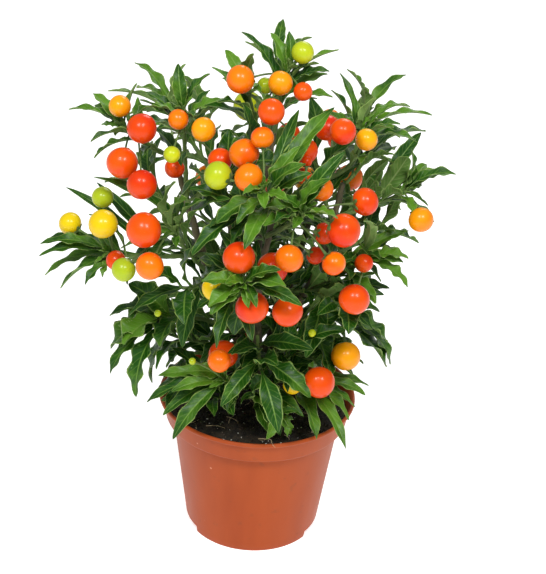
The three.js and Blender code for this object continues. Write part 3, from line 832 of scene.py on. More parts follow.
@dataclass
class Shoot:
    """A leafy shoot read back from its frame node: the leaves' forms and the twig's middle line."""

    name: str
    leaves: list[LeafForm]
    path: np.ndarray

    SHARP = math.radians(170)
    FACETS = 0.55 * MM

    @classmethod
    def read(cls, name: str) -> "Shoot":
        """Reads a shoot's node.

        A leaf's tip is a point with four neighbours whose corners add up to a sharp angle. The next
        two rings of four points lie at three quarters and at half of the leaf, and with the tip they
        settle the quadratic curve of its midrib, back to where it leaves the twig.

        Args:
            name: the node.

        Returns:
            The shoot.
        """
        points, triangles = node_mesh(name)
        angles = np.zeros(len(points))
        for k in range(3):
            here = points[triangles[:, k]]
            one = unit(points[triangles[:, (k + 1) % 3]] - here)
            two = unit(points[triangles[:, (k + 2) % 3]] - here)
            np.add.at(angles, triangles[:, k], np.arccos(np.clip((one * two).sum(1), -1, 1)))
        near: list[set[int]] = [set() for _ in points]
        for a, b, c in triangles.tolist():
            near[a].update((b, c))
            near[b].update((a, c))
            near[c].update((a, b))
        leaves = []
        for tip in np.flatnonzero(angles < cls.SHARP):
            first = near[tip]
            second = set().union(*(near[k] for k in first)) - first - {int(tip)}
            if len(first) == 4 and len(second) >= 4:
                leaves.append(cls._leaf(points, int(tip), sorted(first), sorted(second)))
        path = cls._twig(points, leaves)
        for leaf in leaves:
            leaf.age_and_shade = np.linalg.norm(path - leaf.base, axis=1).argmin() / len(path)
        return cls(name, leaves, path)

    @classmethod
    def _leaf(cls, points: np.ndarray, tip: int, first: list[int], second: list[int]) -> LeafForm:
        """Works out one leaf from its tip and the two rings next to it.

        Args:
            points: the node's merged points.
            tip: the tip's number.
            first: the points next to the tip.
            second: the points next to those.

        Returns:
            The leaf.
        """
        near_ring = cls._ring(points[first])
        if len(second) > 4:
            spread = np.linalg.norm(points[second] - points[tip], axis=1)
            second = [second[k] for k in np.argsort(spread)[:4]]
        left, right, ridge, keel = cls._ring(points[second])
        up = unit(ridge - keel)
        end = points[tip] + up * cls.FACETS
        known = np.array([near_ring[2] - 0.5625 * end, ridge - 0.25 * end])
        base, bend = np.linalg.solve(np.array([[0.0625, 0.375], [0.25, 0.5]]), known)
        return LeafForm(base, bend, end, float(np.linalg.norm(left - right)), up)

    @staticmethod
    def _ring(corners: np.ndarray) -> tuple[np.ndarray, np.ndarray, np.ndarray, np.ndarray]:
        """Sorts four points of a ring into left and right edge, upper ridge and lower keel.

        Args:
            corners: the ring's four points.

        Returns:
            Left, right, ridge and keel.
        """
        spread = np.linalg.norm(corners[:, None] - corners[None], axis=2)
        left, right = np.unravel_index(spread.argmax(), spread.shape)
        middle = (corners[left] + corners[right]) / 2
        rest = sorted((k for k in range(4) if k not in (left, right)),
                      key=lambda k: np.linalg.norm(corners[k] - middle))
        return corners[left], corners[right], corners[rest[0]], corners[rest[1]]

    @staticmethod
    def _twig(points: np.ndarray, leaves: list[LeafForm]) -> np.ndarray:
        """The twig's middle line: every leaf leaves it at its base, so a quadratic in the distance
        along the bases' main direction is fitted through those, and run back to the shoot's foot.

        Args:
            points: the node's merged points.
            leaves: the leaves.

        Returns:
            Points from foot to tip.
        """
        bases = np.array([leaf.base for leaf in leaves])
        middle = bases.mean(0)
        axis = np.linalg.svd(bases - middle)[2][0]
        tips = np.array([leaf.tip for leaf in leaves])
        axis = axis if (tips - bases).sum(0) @ axis > 0 else -axis
        steps = (bases - middle) @ axis
        curve = np.polynomial.polynomial.polyfit(steps, bases, 2)
        foot = ((points - middle) @ axis).min()
        along = np.linspace(foot - 2 * MM, steps.max() + 2 * MM, 26)
        return np.polynomial.polynomial.polyval(along, curve).T


# ---------------------------------------------------------------- room between the pieces


class Room:
    """Keeps what already stands in the plant's room, so that new leaves and fruits find a free place."""

    FRESH_LIMIT = 2500

    def __init__(self) -> None:
        """Starts with nothing in it."""
        self.points = np.empty((0, 3))
        self.reaches = np.empty(0)
        self.middles = np.empty((0, 3))
        self.radii = np.empty(0)
        self.tree = kdtree.KDTree(0)
        self.tree.balance()
        self.grown = 0

    def put(self, points: np.ndarray, reach: float) -> None:
        """Adds points that something thin fills to a distance of reach all round. The search tree is
        grown again only once many points are fresh.

        Args:
            points: points along it.
            reach: how far the thing reaches from them.
        """
        self.points = np.concatenate([self.points, points])
        self.reaches = np.append(self.reaches, np.full(len(points), reach))
        if len(self.points) - self.grown > self.FRESH_LIMIT:
            self.grown = len(self.points)
            self.tree = kdtree.KDTree(self.grown)
            for index, place in enumerate(self.points):
                self.tree.insert(place, index)
            self.tree.balance()

    def put_ball(self, middle: np.ndarray, radius: float) -> None:
        """Adds a ball."""
        self.middles = np.concatenate([self.middles, middle[None]])
        self.radii = np.append(self.radii, radius)

    def air(self, points: np.ndarray) -> float:
        """The least air between any of the points and what stands here.

        Args:
            points: the points to test.

        Returns:
            The least distance from a point to a ball's face or to what a thin thing fills.
        """
        found = [self.tree.find(place) for place in points] if self.grown else []
        least = min((distance - self.reaches[index] for _, index, distance in found), default=1.0)
        for others, reaches in ((self.points[self.grown:], self.reaches[self.grown:]),
                                (self.middles, self.radii)):
            gaps = np.linalg.norm(points[:, None] - others[None], axis=2) - reaches[None]
            least = min(least, gaps.min(initial=1.0))
        return least


# ---------------------------------------------------------------- the plant's pieces


def dress(piece: bpy.types.Object, nodes: Iterable[str] = ()) -> bpy.types.Object:
    """Makes a piece ride on the plant's one body.

    Args:
        piece: the object.
        nodes: the frame's nodes that it stands for.

    Returns:
        The same object.
    """
    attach(piece, "root")
    if nodes:
        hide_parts(*nodes)
    log.info("piece %s: %d faces", piece.name, len(piece.data.polygons))
    return piece


@dataclass
class Foliage:
    """All the leafy shoots, those of the frame and the small inner ones that fill the bush."""

    paints: Paints
    room: Room
    blade: Blade = field(default_factory=Blade)
    twig_foot: float = 1.5 * MM
    twig_tip: float = 0.75 * MM
    sides: int = 9
    inner_sprays: int = 46
    inner_length: tuple[float, float] = (18 * MM, 46 * MM)
    inner_leaf: tuple[float, float] = (26 * MM, 42 * MM)
    inner_width: tuple[float, float] = (7.5 * MM, 13 * MM)
    leaf_air: float = 0.9 * MM
    broad_shoots: tuple[str, ...] = ("shoot_lower_left", "shoot_lower_right", "shoot_back_low")
    broad: float = 1.35
    shoots: list[Shoot] = field(default_factory=list)

    def read(self) -> None:
        """Reads every shoot of the frame and notes where its leaves and twig stand."""
        names = sorted(name for name in frame["nodes"] if name.startswith("shoot_"))
        self.shoots = [Shoot.read(name) for name in names]
        for shoot in self.shoots:
            for leaf in shoot.leaves if shoot.name in self.broad_shoots else ():
                leaf.width *= self.broad
            self.room.put(shoot.path, self.twig_foot)
            for leaf in shoot.leaves:
                self.room.put(leaf.samples(), 0.8 * MM)

    def young_leaves(self, shoot: Shoot, draw: np.random.Generator) -> list[LeafForm]:
        """A rosette of small leaves about the end of a twig.

        Args:
            shoot: the shoot.
            draw: the source of variation.

        Returns:
            The leaves.
        """
        end, along = shoot.path[-1], unit(shoot.path[-1] - shoot.path[-4])
        side = unit(np.cross(along, UP) + 1e-6)
        other = np.cross(side, along)
        leaves = []
        for k in range(6):
            angle = k * GOLDEN_ANGLE + draw.uniform(0, 1)
            opening = math.radians(18 + 9 * k)
            aside = side * math.cos(angle) + other * math.sin(angle)
            heading = along * math.cos(opening) + aside * math.sin(opening)
            length = (8 + 2.2 * k) * MM * draw.uniform(0.8, 1.15)
            base = end - along * (0.8 + 0.9 * k) * MM
            leaves.append(LeafForm.arched(base, base + heading * length, length * 0.34, UP + along, 0.1, 1.0))
        return leaves

    def twig(self, path: np.ndarray, leaves: Sequence[LeafForm], foot: float) -> Surface:
        """A twig along its path, tapering to its tip and swelling where each leaf leaves it.

        Args:
            path: the twig's middle line.
            leaves: the leaves.
            foot: the twig's radius at its foot.

        Returns:
            The twig's surface.
        """
        thin = np.linspace(foot, self.twig_tip, len(path))
        bases = np.array([leaf.base for leaf in leaves])
        gap = np.linalg.norm(path[:, None] - bases[None], axis=2).min(1)
        radii = thin * (1 + 0.28 * np.exp(-(gap / (1.6 * MM)) ** 2))
        points, faces = tube(path, radii, self.sides)
        return Surface(points, faces, np.full(len(faces), 2), np.zeros((len(points), 2)),
                       {"tone": np.full(len(points), 0.5)}).outwards()

    def build(self) -> None:
        """Makes one piece for each shoot of the frame, then the inner sprays."""
        draw = np.random.default_rng(11)
        for number, shoot in enumerate(self.shoots):
            leaves = shoot.leaves + self.young_leaves(shoot, draw)
            parts = [self.blade.surface(leaves, 100 + number), self.twig(shoot.path, leaves, self.twig_foot)]
            name = shoot.name.replace("shoot_", "leafy_shoot_")
            piece = Surface.joined(parts).piece(name, [*self.paints.leaf, self.paints.green])
            dress(piece, [shoot.name])
        self.build_inner(draw)

    def build_inner(self, draw: np.random.Generator) -> None:
        """Small leafy sprays that grow straight from the branches, wherever there is room for them.

        Each starts at a point of the trunk's bark and leaves it along the bark's outward direction,
        turned up. Its leaves follow in a spiral, and a leaf with no room is left out.

        Args:
            draw: the source of variation.
        """
        points, triangles = node_mesh("woody_stem")
        outward = np.zeros_like(points)
        corners = points[triangles]
        slope = np.cross(corners[:, 1] - corners[:, 0], corners[:, 2] - corners[:, 0])
        for k in range(3):
            np.add.at(outward, triangles[:, k], slope)
        outward = unit(outward)
        able = np.flatnonzero((points[:, 2] > 100 * MM) & (points[:, 2] < 235 * MM))
        chosen = [int(draw.choice(able))]
        while len(chosen) < self.inner_sprays:
            gap = np.linalg.norm(points[able][:, None] - points[chosen][None], axis=2).min(1)
            chosen.append(int(able[gap.argmax()]))
        made: list[Surface] = []
        for number, index in enumerate(chosen):
            spray = self.inner_spray(points[index], outward[index], draw)
            if spray:
                path, leaves = spray
                made.append(self.blade.surface(leaves, 900 + number))
                made.append(self.twig(path, leaves, 1.1 * MM))
        half = len(made) // 4 * 2
        for label, parts in (("inner_leaves_low", made[:half]), ("inner_leaves_high", made[half:])):
            dress(Surface.joined(parts).piece(label, [*self.paints.leaf, self.paints.green]))

    def inner_spray(self, foot: np.ndarray, outward: np.ndarray,
                    draw: np.random.Generator) -> tuple[np.ndarray, list[LeafForm]] | None:
        """One inner spray: a short twig that curves up, and the leaves on it that find room.

        Args:
            foot: where it starts on the bark.
            outward: the bark's direction there.
            draw: the source of its variation.

        Returns:
            The twig's path and its leaves, or nothing where fewer than two leaves have room.
        """
        best: tuple[np.ndarray, list[LeafForm]] | None = None
        for _ in range(3):
            heading = unit(outward * np.array([1, 1, 0.3]) + draw.normal(0, 0.35, 3) + UP * 0.25)
            length = draw.uniform(*self.inner_length)
            t = np.linspace(0, 1, 14)[:, None]
            path = foot + heading * length * t + UP * length * 0.2 * t ** 2
            if self.room.air(path[5:]) < 0.6 * MM:
                continue
            leaves = self.spiral(path, draw)
            if best is None or len(leaves) > len(best[1]):
                best = (path, leaves)
        if best is None or len(best[1]) < 2:
            return None
        self.room.put(best[0], 1.0 * MM)
        for leaf in best[1]:
            self.room.put(leaf.samples(), 0.8 * MM)
        return best

    def spiral(self, path: np.ndarray, draw: np.random.Generator) -> list[LeafForm]:
        """Leaves in a spiral about a path, each tried as it is and then turned aside or shortened.

        Args:
            path: the twig's middle line.
            draw: the source of variation.

        Returns:
            The leaves that found room.
        """
        leaves: list[LeafForm] = []
        own: list[np.ndarray] = []
        first = draw.uniform(0, 2 * np.pi)
        for k in range(7):
            at = 3 + int(k * (len(path) - 4) / 6)
            along = unit(path[min(at + 1, len(path) - 1)] - path[at - 1])
            side = unit(np.cross(along, UP) + 1e-6)
            other = np.cross(side, along)
            size, width = draw.uniform(*self.inner_leaf), draw.uniform(*self.inner_width)
            for trial in range(7):
                angle = first + k * GOLDEN_ANGLE + trial * 0.5
                opening = math.radians(62 - 4 * k)
                aside = side * math.cos(angle) + other * math.sin(angle)
                heading = along * math.cos(opening) + aside * math.sin(opening)
                length = size * (1 - 0.06 * trial)
                tip = path[at] + heading * length
                out = unit(tip * np.array([1, 1, 0]))
                up = UP + along * 0.4 + out * 0.35
                # -0.8 darkens the inner leaves' green as painted shade
                leaf = LeafForm.arched(path[at], tip, width * (1 - 0.05 * trial), up, 0.12, -0.8)
                points = leaf.samples()
                near = min((np.linalg.norm(points[:, None] - other_leaf[None], axis=2).min()
                            for other_leaf in own), default=1.0)
                if self.inside(points) and near > 1.6 * MM and self.room.air(points) > self.leaf_air:
                    leaves.append(leaf)
                    own.append(points)
                    break
        return leaves

    @staticmethod
    def inside(points: np.ndarray) -> bool:
        """Whether the points keep within the frame's box and above the pot's lip.

        Args:
            points: the points to test.

        Returns:
            Whether they all are.
        """
        low, high = np.array(CAD_BOX[0]), np.array(CAD_BOX[1])
        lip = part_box("pot")[1].z + 4 * MM
        return bool((points > low).all() and (points < high).all() and points[:, 2].min() > lip)


@dataclass
class Fruit:
    """One fruit: where its middle is, its radius, where its stalk goes and how ripe it is."""

    name: str
    middle: np.ndarray
    radius: float
    end: np.ndarray
    ripeness: Ripeness
    nodes: tuple[str, ...] = ()

    @classmethod
    def read(cls, name: str, ripeness: Ripeness) -> "Fruit":
        """Reads a fruit's node. Spheres are laid through many draws of four of its points, and the one
        that holds most points on its face is the fruit. The stalk's end is the point farthest off.

        Args:
            name: its name.
            ripeness: how ripe it is.

        Returns:
            The fruit.
        """
        points, _ = node_mesh(name)
        draw = np.random.default_rng(1)
        fours = points[np.argsort(draw.random((1500, len(points))), axis=1)[:, :4]]
        edges = fours[:, 1:] - fours[:, :1]
        sound = np.abs(np.linalg.det(edges)) > (1.2 * MM) ** 3
        fours, edges = fours[sound], edges[sound]
        level = ((fours[:, 1:] ** 2).sum(2) - (fours[:, :1] ** 2).sum(2)) / 2
        middles = np.linalg.solve(edges, level[..., None])[..., 0]
        radii = np.linalg.norm(fours[:, 0] - middles, axis=1)
        off = np.abs(np.linalg.norm(points[None] - middles[:, None], axis=2) - radii[:, None])
        best = int((off < 0.03 * MM).sum(1).argmax())
        middle, radius = middles[best], float(radii[best])
        end = points[np.linalg.norm(points - middle, axis=1).argmax()]
        return cls(name, middle, radius, end, ripeness, (name,))


@dataclass
class Fruits:
    """All the fruits: those of the frame, the half hidden ones behind them and those at the back."""

    paints: Paints
    room: Room
    foliage: Foliage
    rows: int = 22
    around: int = 32
    stalk_sides: int = 7
    fruits: list[Fruit] = field(default_factory=list)

    # A hidden fruit hangs beside one of the frame's fruits: that one, the way from it in
    # millimetres, its diameter in millimetres and its ripeness.
    HIDDEN = (
        ("berry_11", (-11, 13, -8), 13, Ripeness.RED), ("berry_06", (1, 20, -13), 11, Ripeness.RED),
        ("berry_18", (-8, 17, -5), 14, Ripeness.RED), ("berry_18", (-19, 10, -8), 14, Ripeness.RED),
        ("berry_18", (-17, 0, -15), 14, Ripeness.RED), ("berry_19", (-8, 15, -3), 12, Ripeness.RED),
        ("berry_12", (13, 26, -19), 11, Ripeness.RED), ("berry_18", (13, 19, -10), 12, Ripeness.GOLDEN),
        ("berry_21", (-9, 27, -15), 12, Ripeness.RED), ("berry_23", (-10, 19, -15), 17, Ripeness.RED),
        ("berry_24", (15, 27, -15), 13, Ripeness.RED), ("berry_25", (-21, 6, 7), 13, Ripeness.LEMON),
        ("berry_28", (-2, 20, -10), 17, Ripeness.RED), ("berry_32", (-16, 18, -15), 13, Ripeness.LEMON),
        ("berry_34", (-8, 22, -7), 11, Ripeness.RED), ("berry_16", (-7, 15, -2), 9, Ripeness.GREEN),
        ("berry_24", (-9, 29, -10), 10, Ripeness.RED), ("berry_28", (-15, 0, -1), 4, Ripeness.GREEN),
        ("berry_28", (-36, 17, 19), 4, Ripeness.GREEN), ("berry_29", (-21, -18, 24), 4.4, Ripeness.GREEN),
    )
    LEMONS = ("berry_31", "berry_32")
    BACK_COUNT = 16
    BACK_RIPENESS = (Ripeness.RED, Ripeness.ORANGE, Ripeness.RED, Ripeness.GOLDEN, Ripeness.RED,
                     Ripeness.GREEN, Ripeness.ORANGE, Ripeness.RED)

    def read(self) -> None:
        """Reads the frame's fruits and notes where they and their stalks stand."""
        slots = {row["node"]: row["material_slot"] for row in frame["record"]["subparts"]}
        for name in sorted(name for name in frame["nodes"] if name.startswith("berry_")):
            colour = "lemon" if name in self.LEMONS else slots[name].removeprefix("berry_")
            fruit = Fruit.read(name, Ripeness(colour))
            self.fruits.append(fruit)
            self.note(fruit)

    def note(self, fruit: Fruit) -> None:
        """Notes in the room where a fruit and its stalk stand."""
        self.room.put_ball(fruit.middle, fruit.radius)
        self.room.put(np.linspace(fruit.middle, fruit.end, 9)[3:], 0.7 * MM)

    def nearest_twig(self, middle: np.ndarray) -> np.ndarray:
        """The point of a twig that is nearest to a fruit."""
        paths = np.concatenate([shoot.path[3:] for shoot in self.foliage.shoots])
        return paths[np.linalg.norm(paths - middle, axis=1).argmin()]

    def add_hidden(self) -> None:
        """Adds the fruits beside the frame's, each moved a little to where it has most air."""
        known = {fruit.name: fruit for fruit in self.fruits}
        draw = np.random.default_rng(5)
        for number, (beside, way, diameter, ripeness) in enumerate(self.HIDDEN):
            radius = diameter / 2 * MM
            start = known[beside].middle + np.array(way) * MM
            tries = [start] + [start + draw.normal(0, 2.2 * MM, 3) for _ in range(40)]
            airs = [min(self.room.air(place[None]) - radius, 0.4 * MM) for place in tries]
            middle = tries[int(np.argmax(airs))]
            radius *= min(1, 1 + (max(airs) - 0.2 * MM) / radius)
            name = f"hidden_berry_{number + 1:02d}"
            fruit = Fruit(name, middle, radius, self.nearest_twig(middle), ripeness)
            self.fruits.append(fruit)
            self.note(fruit)

    def add_back(self) -> None:
        """Adds fruits round the back, near its twigs, wherever one has room and stands well clear of
        the last ones."""
        draw = np.random.default_rng(8)
        paths = np.concatenate([shoot.path[6:] for shoot in self.foliage.shoots if "back" in shoot.name])
        placed: list[np.ndarray] = []
        low, high = np.array(CAD_BOX[0]), np.array(CAD_BOX[1])
        for _ in range(2500):
            if len(placed) == self.BACK_COUNT:
                break
            start = paths[draw.integers(len(paths))]
            away = unit(draw.normal(0, 1, 3) + np.array([start[0] * 6, 0.9, 0.0]))
            radius = draw.uniform(5.2, 9.2) * MM
            middle = start + away * draw.uniform(10, 20) * MM
            clear = all(np.linalg.norm(middle - other) > 21 * MM for other in placed)
            boxed = (middle - radius > low).all() and (middle + radius < high).all()
            if clear and boxed and self.room.air(middle[None]) > radius + 0.3 * MM:
                ripeness = self.BACK_RIPENESS[len(placed) % len(self.BACK_RIPENESS)]
                fruit = Fruit(f"back_berry_{len(placed) + 1:02d}", middle, radius, start, ripeness)
                placed.append(middle)
                self.fruits.append(fruit)
                self.note(fruit)

    def build(self) -> None:
        """Makes one piece for each fruit with its calyx and stalk."""
        for number, fruit in enumerate(self.fruits):
            parts = [self.body(fruit, number), self.calyx(fruit, number), self.stalk(fruit, number)]
            name = fruit.name if not fruit.nodes else fruit.name.replace("berry_", "fruit_")
            piece = Surface.joined(parts).piece(name, [self.paints.skin[fruit.ripeness], self.paints.green])
            dress(piece, fruit.nodes)

    @staticmethod
    def axes(fruit: Fruit, number: int) -> tuple[np.ndarray, np.ndarray, np.ndarray]:
        """The fruit's own axes: its stalk's direction, and two across it.

        Args:
            fruit: the fruit.
            number: its number, which starts its own variation.

        Returns:
            Three unit vectors.
        """
        axis = unit(fruit.end - fruit.middle)
        side = unit(np.cross(axis, np.array([math.sin(number), 0.4, math.cos(number)])))
        return axis, side, np.cross(axis, side)

    def body(self, fruit: Fruit, number: int) -> Surface:
        """The fruit itself: a sphere, a little flat along its axis, with a dimple at the stalk and a
        shallow one at the far end, where the flower was. Its radius is that of the sphere less a
        narrow bell at each pole. The fruit is riper away from a direction that points up and towards the
        lamps, so the side facing them keeps the ground colour: painted light over a real blush, with slow
        waves over the skin.

        Args:
            fruit: the fruit.
            number: its number, which starts its own variation.

        Returns:
            The fruit's surface.
        """
        draw = np.random.default_rng(300 + number)
        axis, side, other = self.axes(fruit, number)
        polar = np.linspace(0, np.pi, self.rows)[1:-1]
        turn = np.linspace(0, 2 * np.pi, self.around, endpoint=False)
        p, a = np.meshgrid(polar, turn, indexing="ij")
        squash = draw.uniform(0.93, 1.0)
        dimples = 0.10 * np.exp(-(p / 0.28) ** 2) + 0.03 * np.exp(-((np.pi - p) / 0.16) ** 2)
        radius = fruit.radius * (1 - dimples + 0.008 * np.sin(3 * a + number) * np.sin(p))
        local = np.stack([np.cos(p) * squash, np.sin(p) * np.cos(a), np.sin(p) * np.sin(a)], -1)
        local = local * radius[..., None]
        poles = np.array([[squash * 0.90, 0, 0], [-squash * 0.97, 0, 0]]) * fruit.radius
        local = np.concatenate([local.reshape(-1, 3), poles])
        points = fruit.middle + local @ np.stack([axis, side, other])
        count = len(polar) * self.around
        faces = np.concatenate([
            grid_faces(len(polar), self.around, True)[:, ::-1],
            fan(np.arange(self.around), count, False),
            fan(np.arange(count - self.around, count), count + 1, True)])
        # this direction points up and towards the lamps and the camera; the skin is riper away from it, so
        # the lit side keeps the ground colour as painted light
        lamp_side = unit(draw.normal(0, 0.6, 3) + np.array([-0.3, -0.5, 0.6]))
        direction = unit(points - fruit.middle)
        ripening = 0.5 + 0.42 * (direction @ -lamp_side) + 0.1 * np.sin(direction @ lamp_side * 7 + number)
        return Surface(points, faces, np.zeros(len(faces)), np.zeros((len(points), 2)),
                       {"ripening": ripening, "tone": np.full(len(points), draw.uniform(0, 1))}).outwards()

    def calyx(self, fruit: Fruit, number: int) -> Surface:
        """The five-lobed star of sepals that sits on the fruit about its stalk. In the plane across
        the stalk its edge is at a radius that swings between narrow bays and five pointed lobes, and
        its height follows the fruit's curve with the lobes' ends lifted.

        Args:
            fruit: the fruit.
            number: its number, which starts its own variation.

        Returns:
            The calyx's surface.
        """
        axis, side, other = self.axes(fruit, number)
        lobes, rings, around = 5, 5, 50
        turn = np.linspace(0, 2 * np.pi, around, endpoint=False)
        point = np.abs(np.cos(lobes * turn / 2)) ** 1.8
        reach = fruit.radius * (0.24 + 0.40 * point)
        share = np.linspace(0.12, 1, rings)[:, None]
        out = share * reach
        high = np.sqrt(np.maximum(fruit.radius ** 2 - out ** 2, 0)) * 0.95 + 0.25 * MM
        high = high + 0.10 * fruit.radius * (share * point) ** 3 - 0.055 * fruit.radius * (1 - share)
        thick = 0.28 * MM * (1.05 - share)
        top = np.stack([high + thick, out * np.cos(turn), out * np.sin(turn)], -1)
        low = np.stack([high - 0.1 * MM, out * np.cos(turn), out * np.sin(turn)], -1)
        shell = np.concatenate([top[::-1], low]).reshape(-1, 3)
        points = fruit.middle + shell @ np.stack([axis, side, other])
        rows = 2 * rings
        faces = grid_faces(rows, around, True)
        last = np.arange((rows - 1) * around, rows * around)
        bridge = np.stack([last, np.roll(last, -1), np.roll(np.arange(around), -1), np.arange(around)], -1)
        faces = np.concatenate([faces, bridge])
        return Surface(points, faces, np.ones(len(faces)), np.zeros((len(points), 2)),
                       {"ripening": np.zeros(len(points)), "tone": np.full(len(points), 0.5)}).outwards()

    def stalk(self, fruit: Fruit, number: int) -> Surface:
        """The stalk: from the dimple it swells out of the calyx, thins, and bows up on its way to the
        twig, along a quadratic curve.

        Args:
            fruit: the fruit.
            number: its number, which starts its own variation.

        Returns:
            The stalk's surface.
        """
        axis, _, _ = self.axes(fruit, number)
        start = fruit.middle + axis * fruit.radius * 0.84
        twig = self.nearest_twig(fruit.end)
        reach = np.linalg.norm(twig - start)
        bend = start + axis * reach * 0.5 + UP * min(0.16 * reach, 3 * MM)
        t = np.linspace(0, 1, 16)[:, None]
        path = (1 - t) ** 2 * start + 2 * t * (1 - t) * bend + t ** 2 * twig
        along = t[:, 0]
        swollen = 0.55 * np.exp(-(along / 0.10) ** 2) + 0.35 * np.exp(-((1 - along) / 0.1) ** 2)
        thick = (0.55 + swollen) * MM
        points, faces = tube(path, thick, self.stalk_sides)
        return Surface(points, faces, np.ones(len(faces)), np.zeros((len(points), 2)),
                       {"ripening": np.zeros(len(points)), "tone": np.full(len(points), 0.5)}).outwards()


@dataclass
class Trunk:
    """The woody stem: the frame's solid, rounded off and given bark."""

    paints: Paints
    room: Room
    voxel: float = 0.75 * MM
    knots: float = 0.35 * MM

    def note(self) -> None:
        """Notes where the branches stand."""
        points, _ = node_mesh("woody_stem")
        self.room.put(points, 0.4 * MM)

    def build(self) -> None:
        """Remeshes a merged copy of the node finely, smooths it and raises knots and ridges: each
        point moves along its normal by a sum of sines of its place."""
        points, triangles = node_mesh("woody_stem")
        faces = np.concatenate([triangles, np.full((len(triangles), 1), -1)], 1)
        piece = Surface(points, faces, np.zeros(len(faces))).piece("trunk_and_branches", [self.paints.bark])
        remesh = piece.modifiers.new("round_off", "REMESH")
        remesh.mode = "VOXEL"
        remesh.voxel_size = self.voxel
        remesh.use_smooth_shade = True
        smooth = piece.modifiers.new("smooth", "SMOOTH")
        smooth.iterations = 9
        graph = bpy.context.evaluated_depsgraph_get()
        finished = bpy.data.meshes.new_from_object(piece.evaluated_get(graph))
        piece.modifiers.clear()
        piece.data = finished
        place = np.empty(len(finished.vertices) * 3, np.float32)
        normal = np.empty(len(finished.vertices) * 3, np.float32)
        finished.vertices.foreach_get("co", place)
        finished.vertices.foreach_get("normal", normal)
        place, normal = place.reshape(-1, 3), normal.reshape(-1, 3)
        x, y, z = (place / MM).T
        rough = (0.45 * np.sin(0.9 * x + 1.4 * y + 0.35 * z) + 0.35 * np.sin(1.7 * y - 1.1 * x + 0.8 * z)
                 + 0.5 * np.sin(0.31 * z + 0.5 * np.sin(0.8 * x)) ** 6)
        finished.vertices.foreach_set("co", (place + normal * (rough * self.knots)[:, None]).ravel())
        finished.polygons.foreach_set("use_smooth", np.ones(len(finished.polygons), bool))
        finished.update()
        dress(piece, ["woody_stem"])


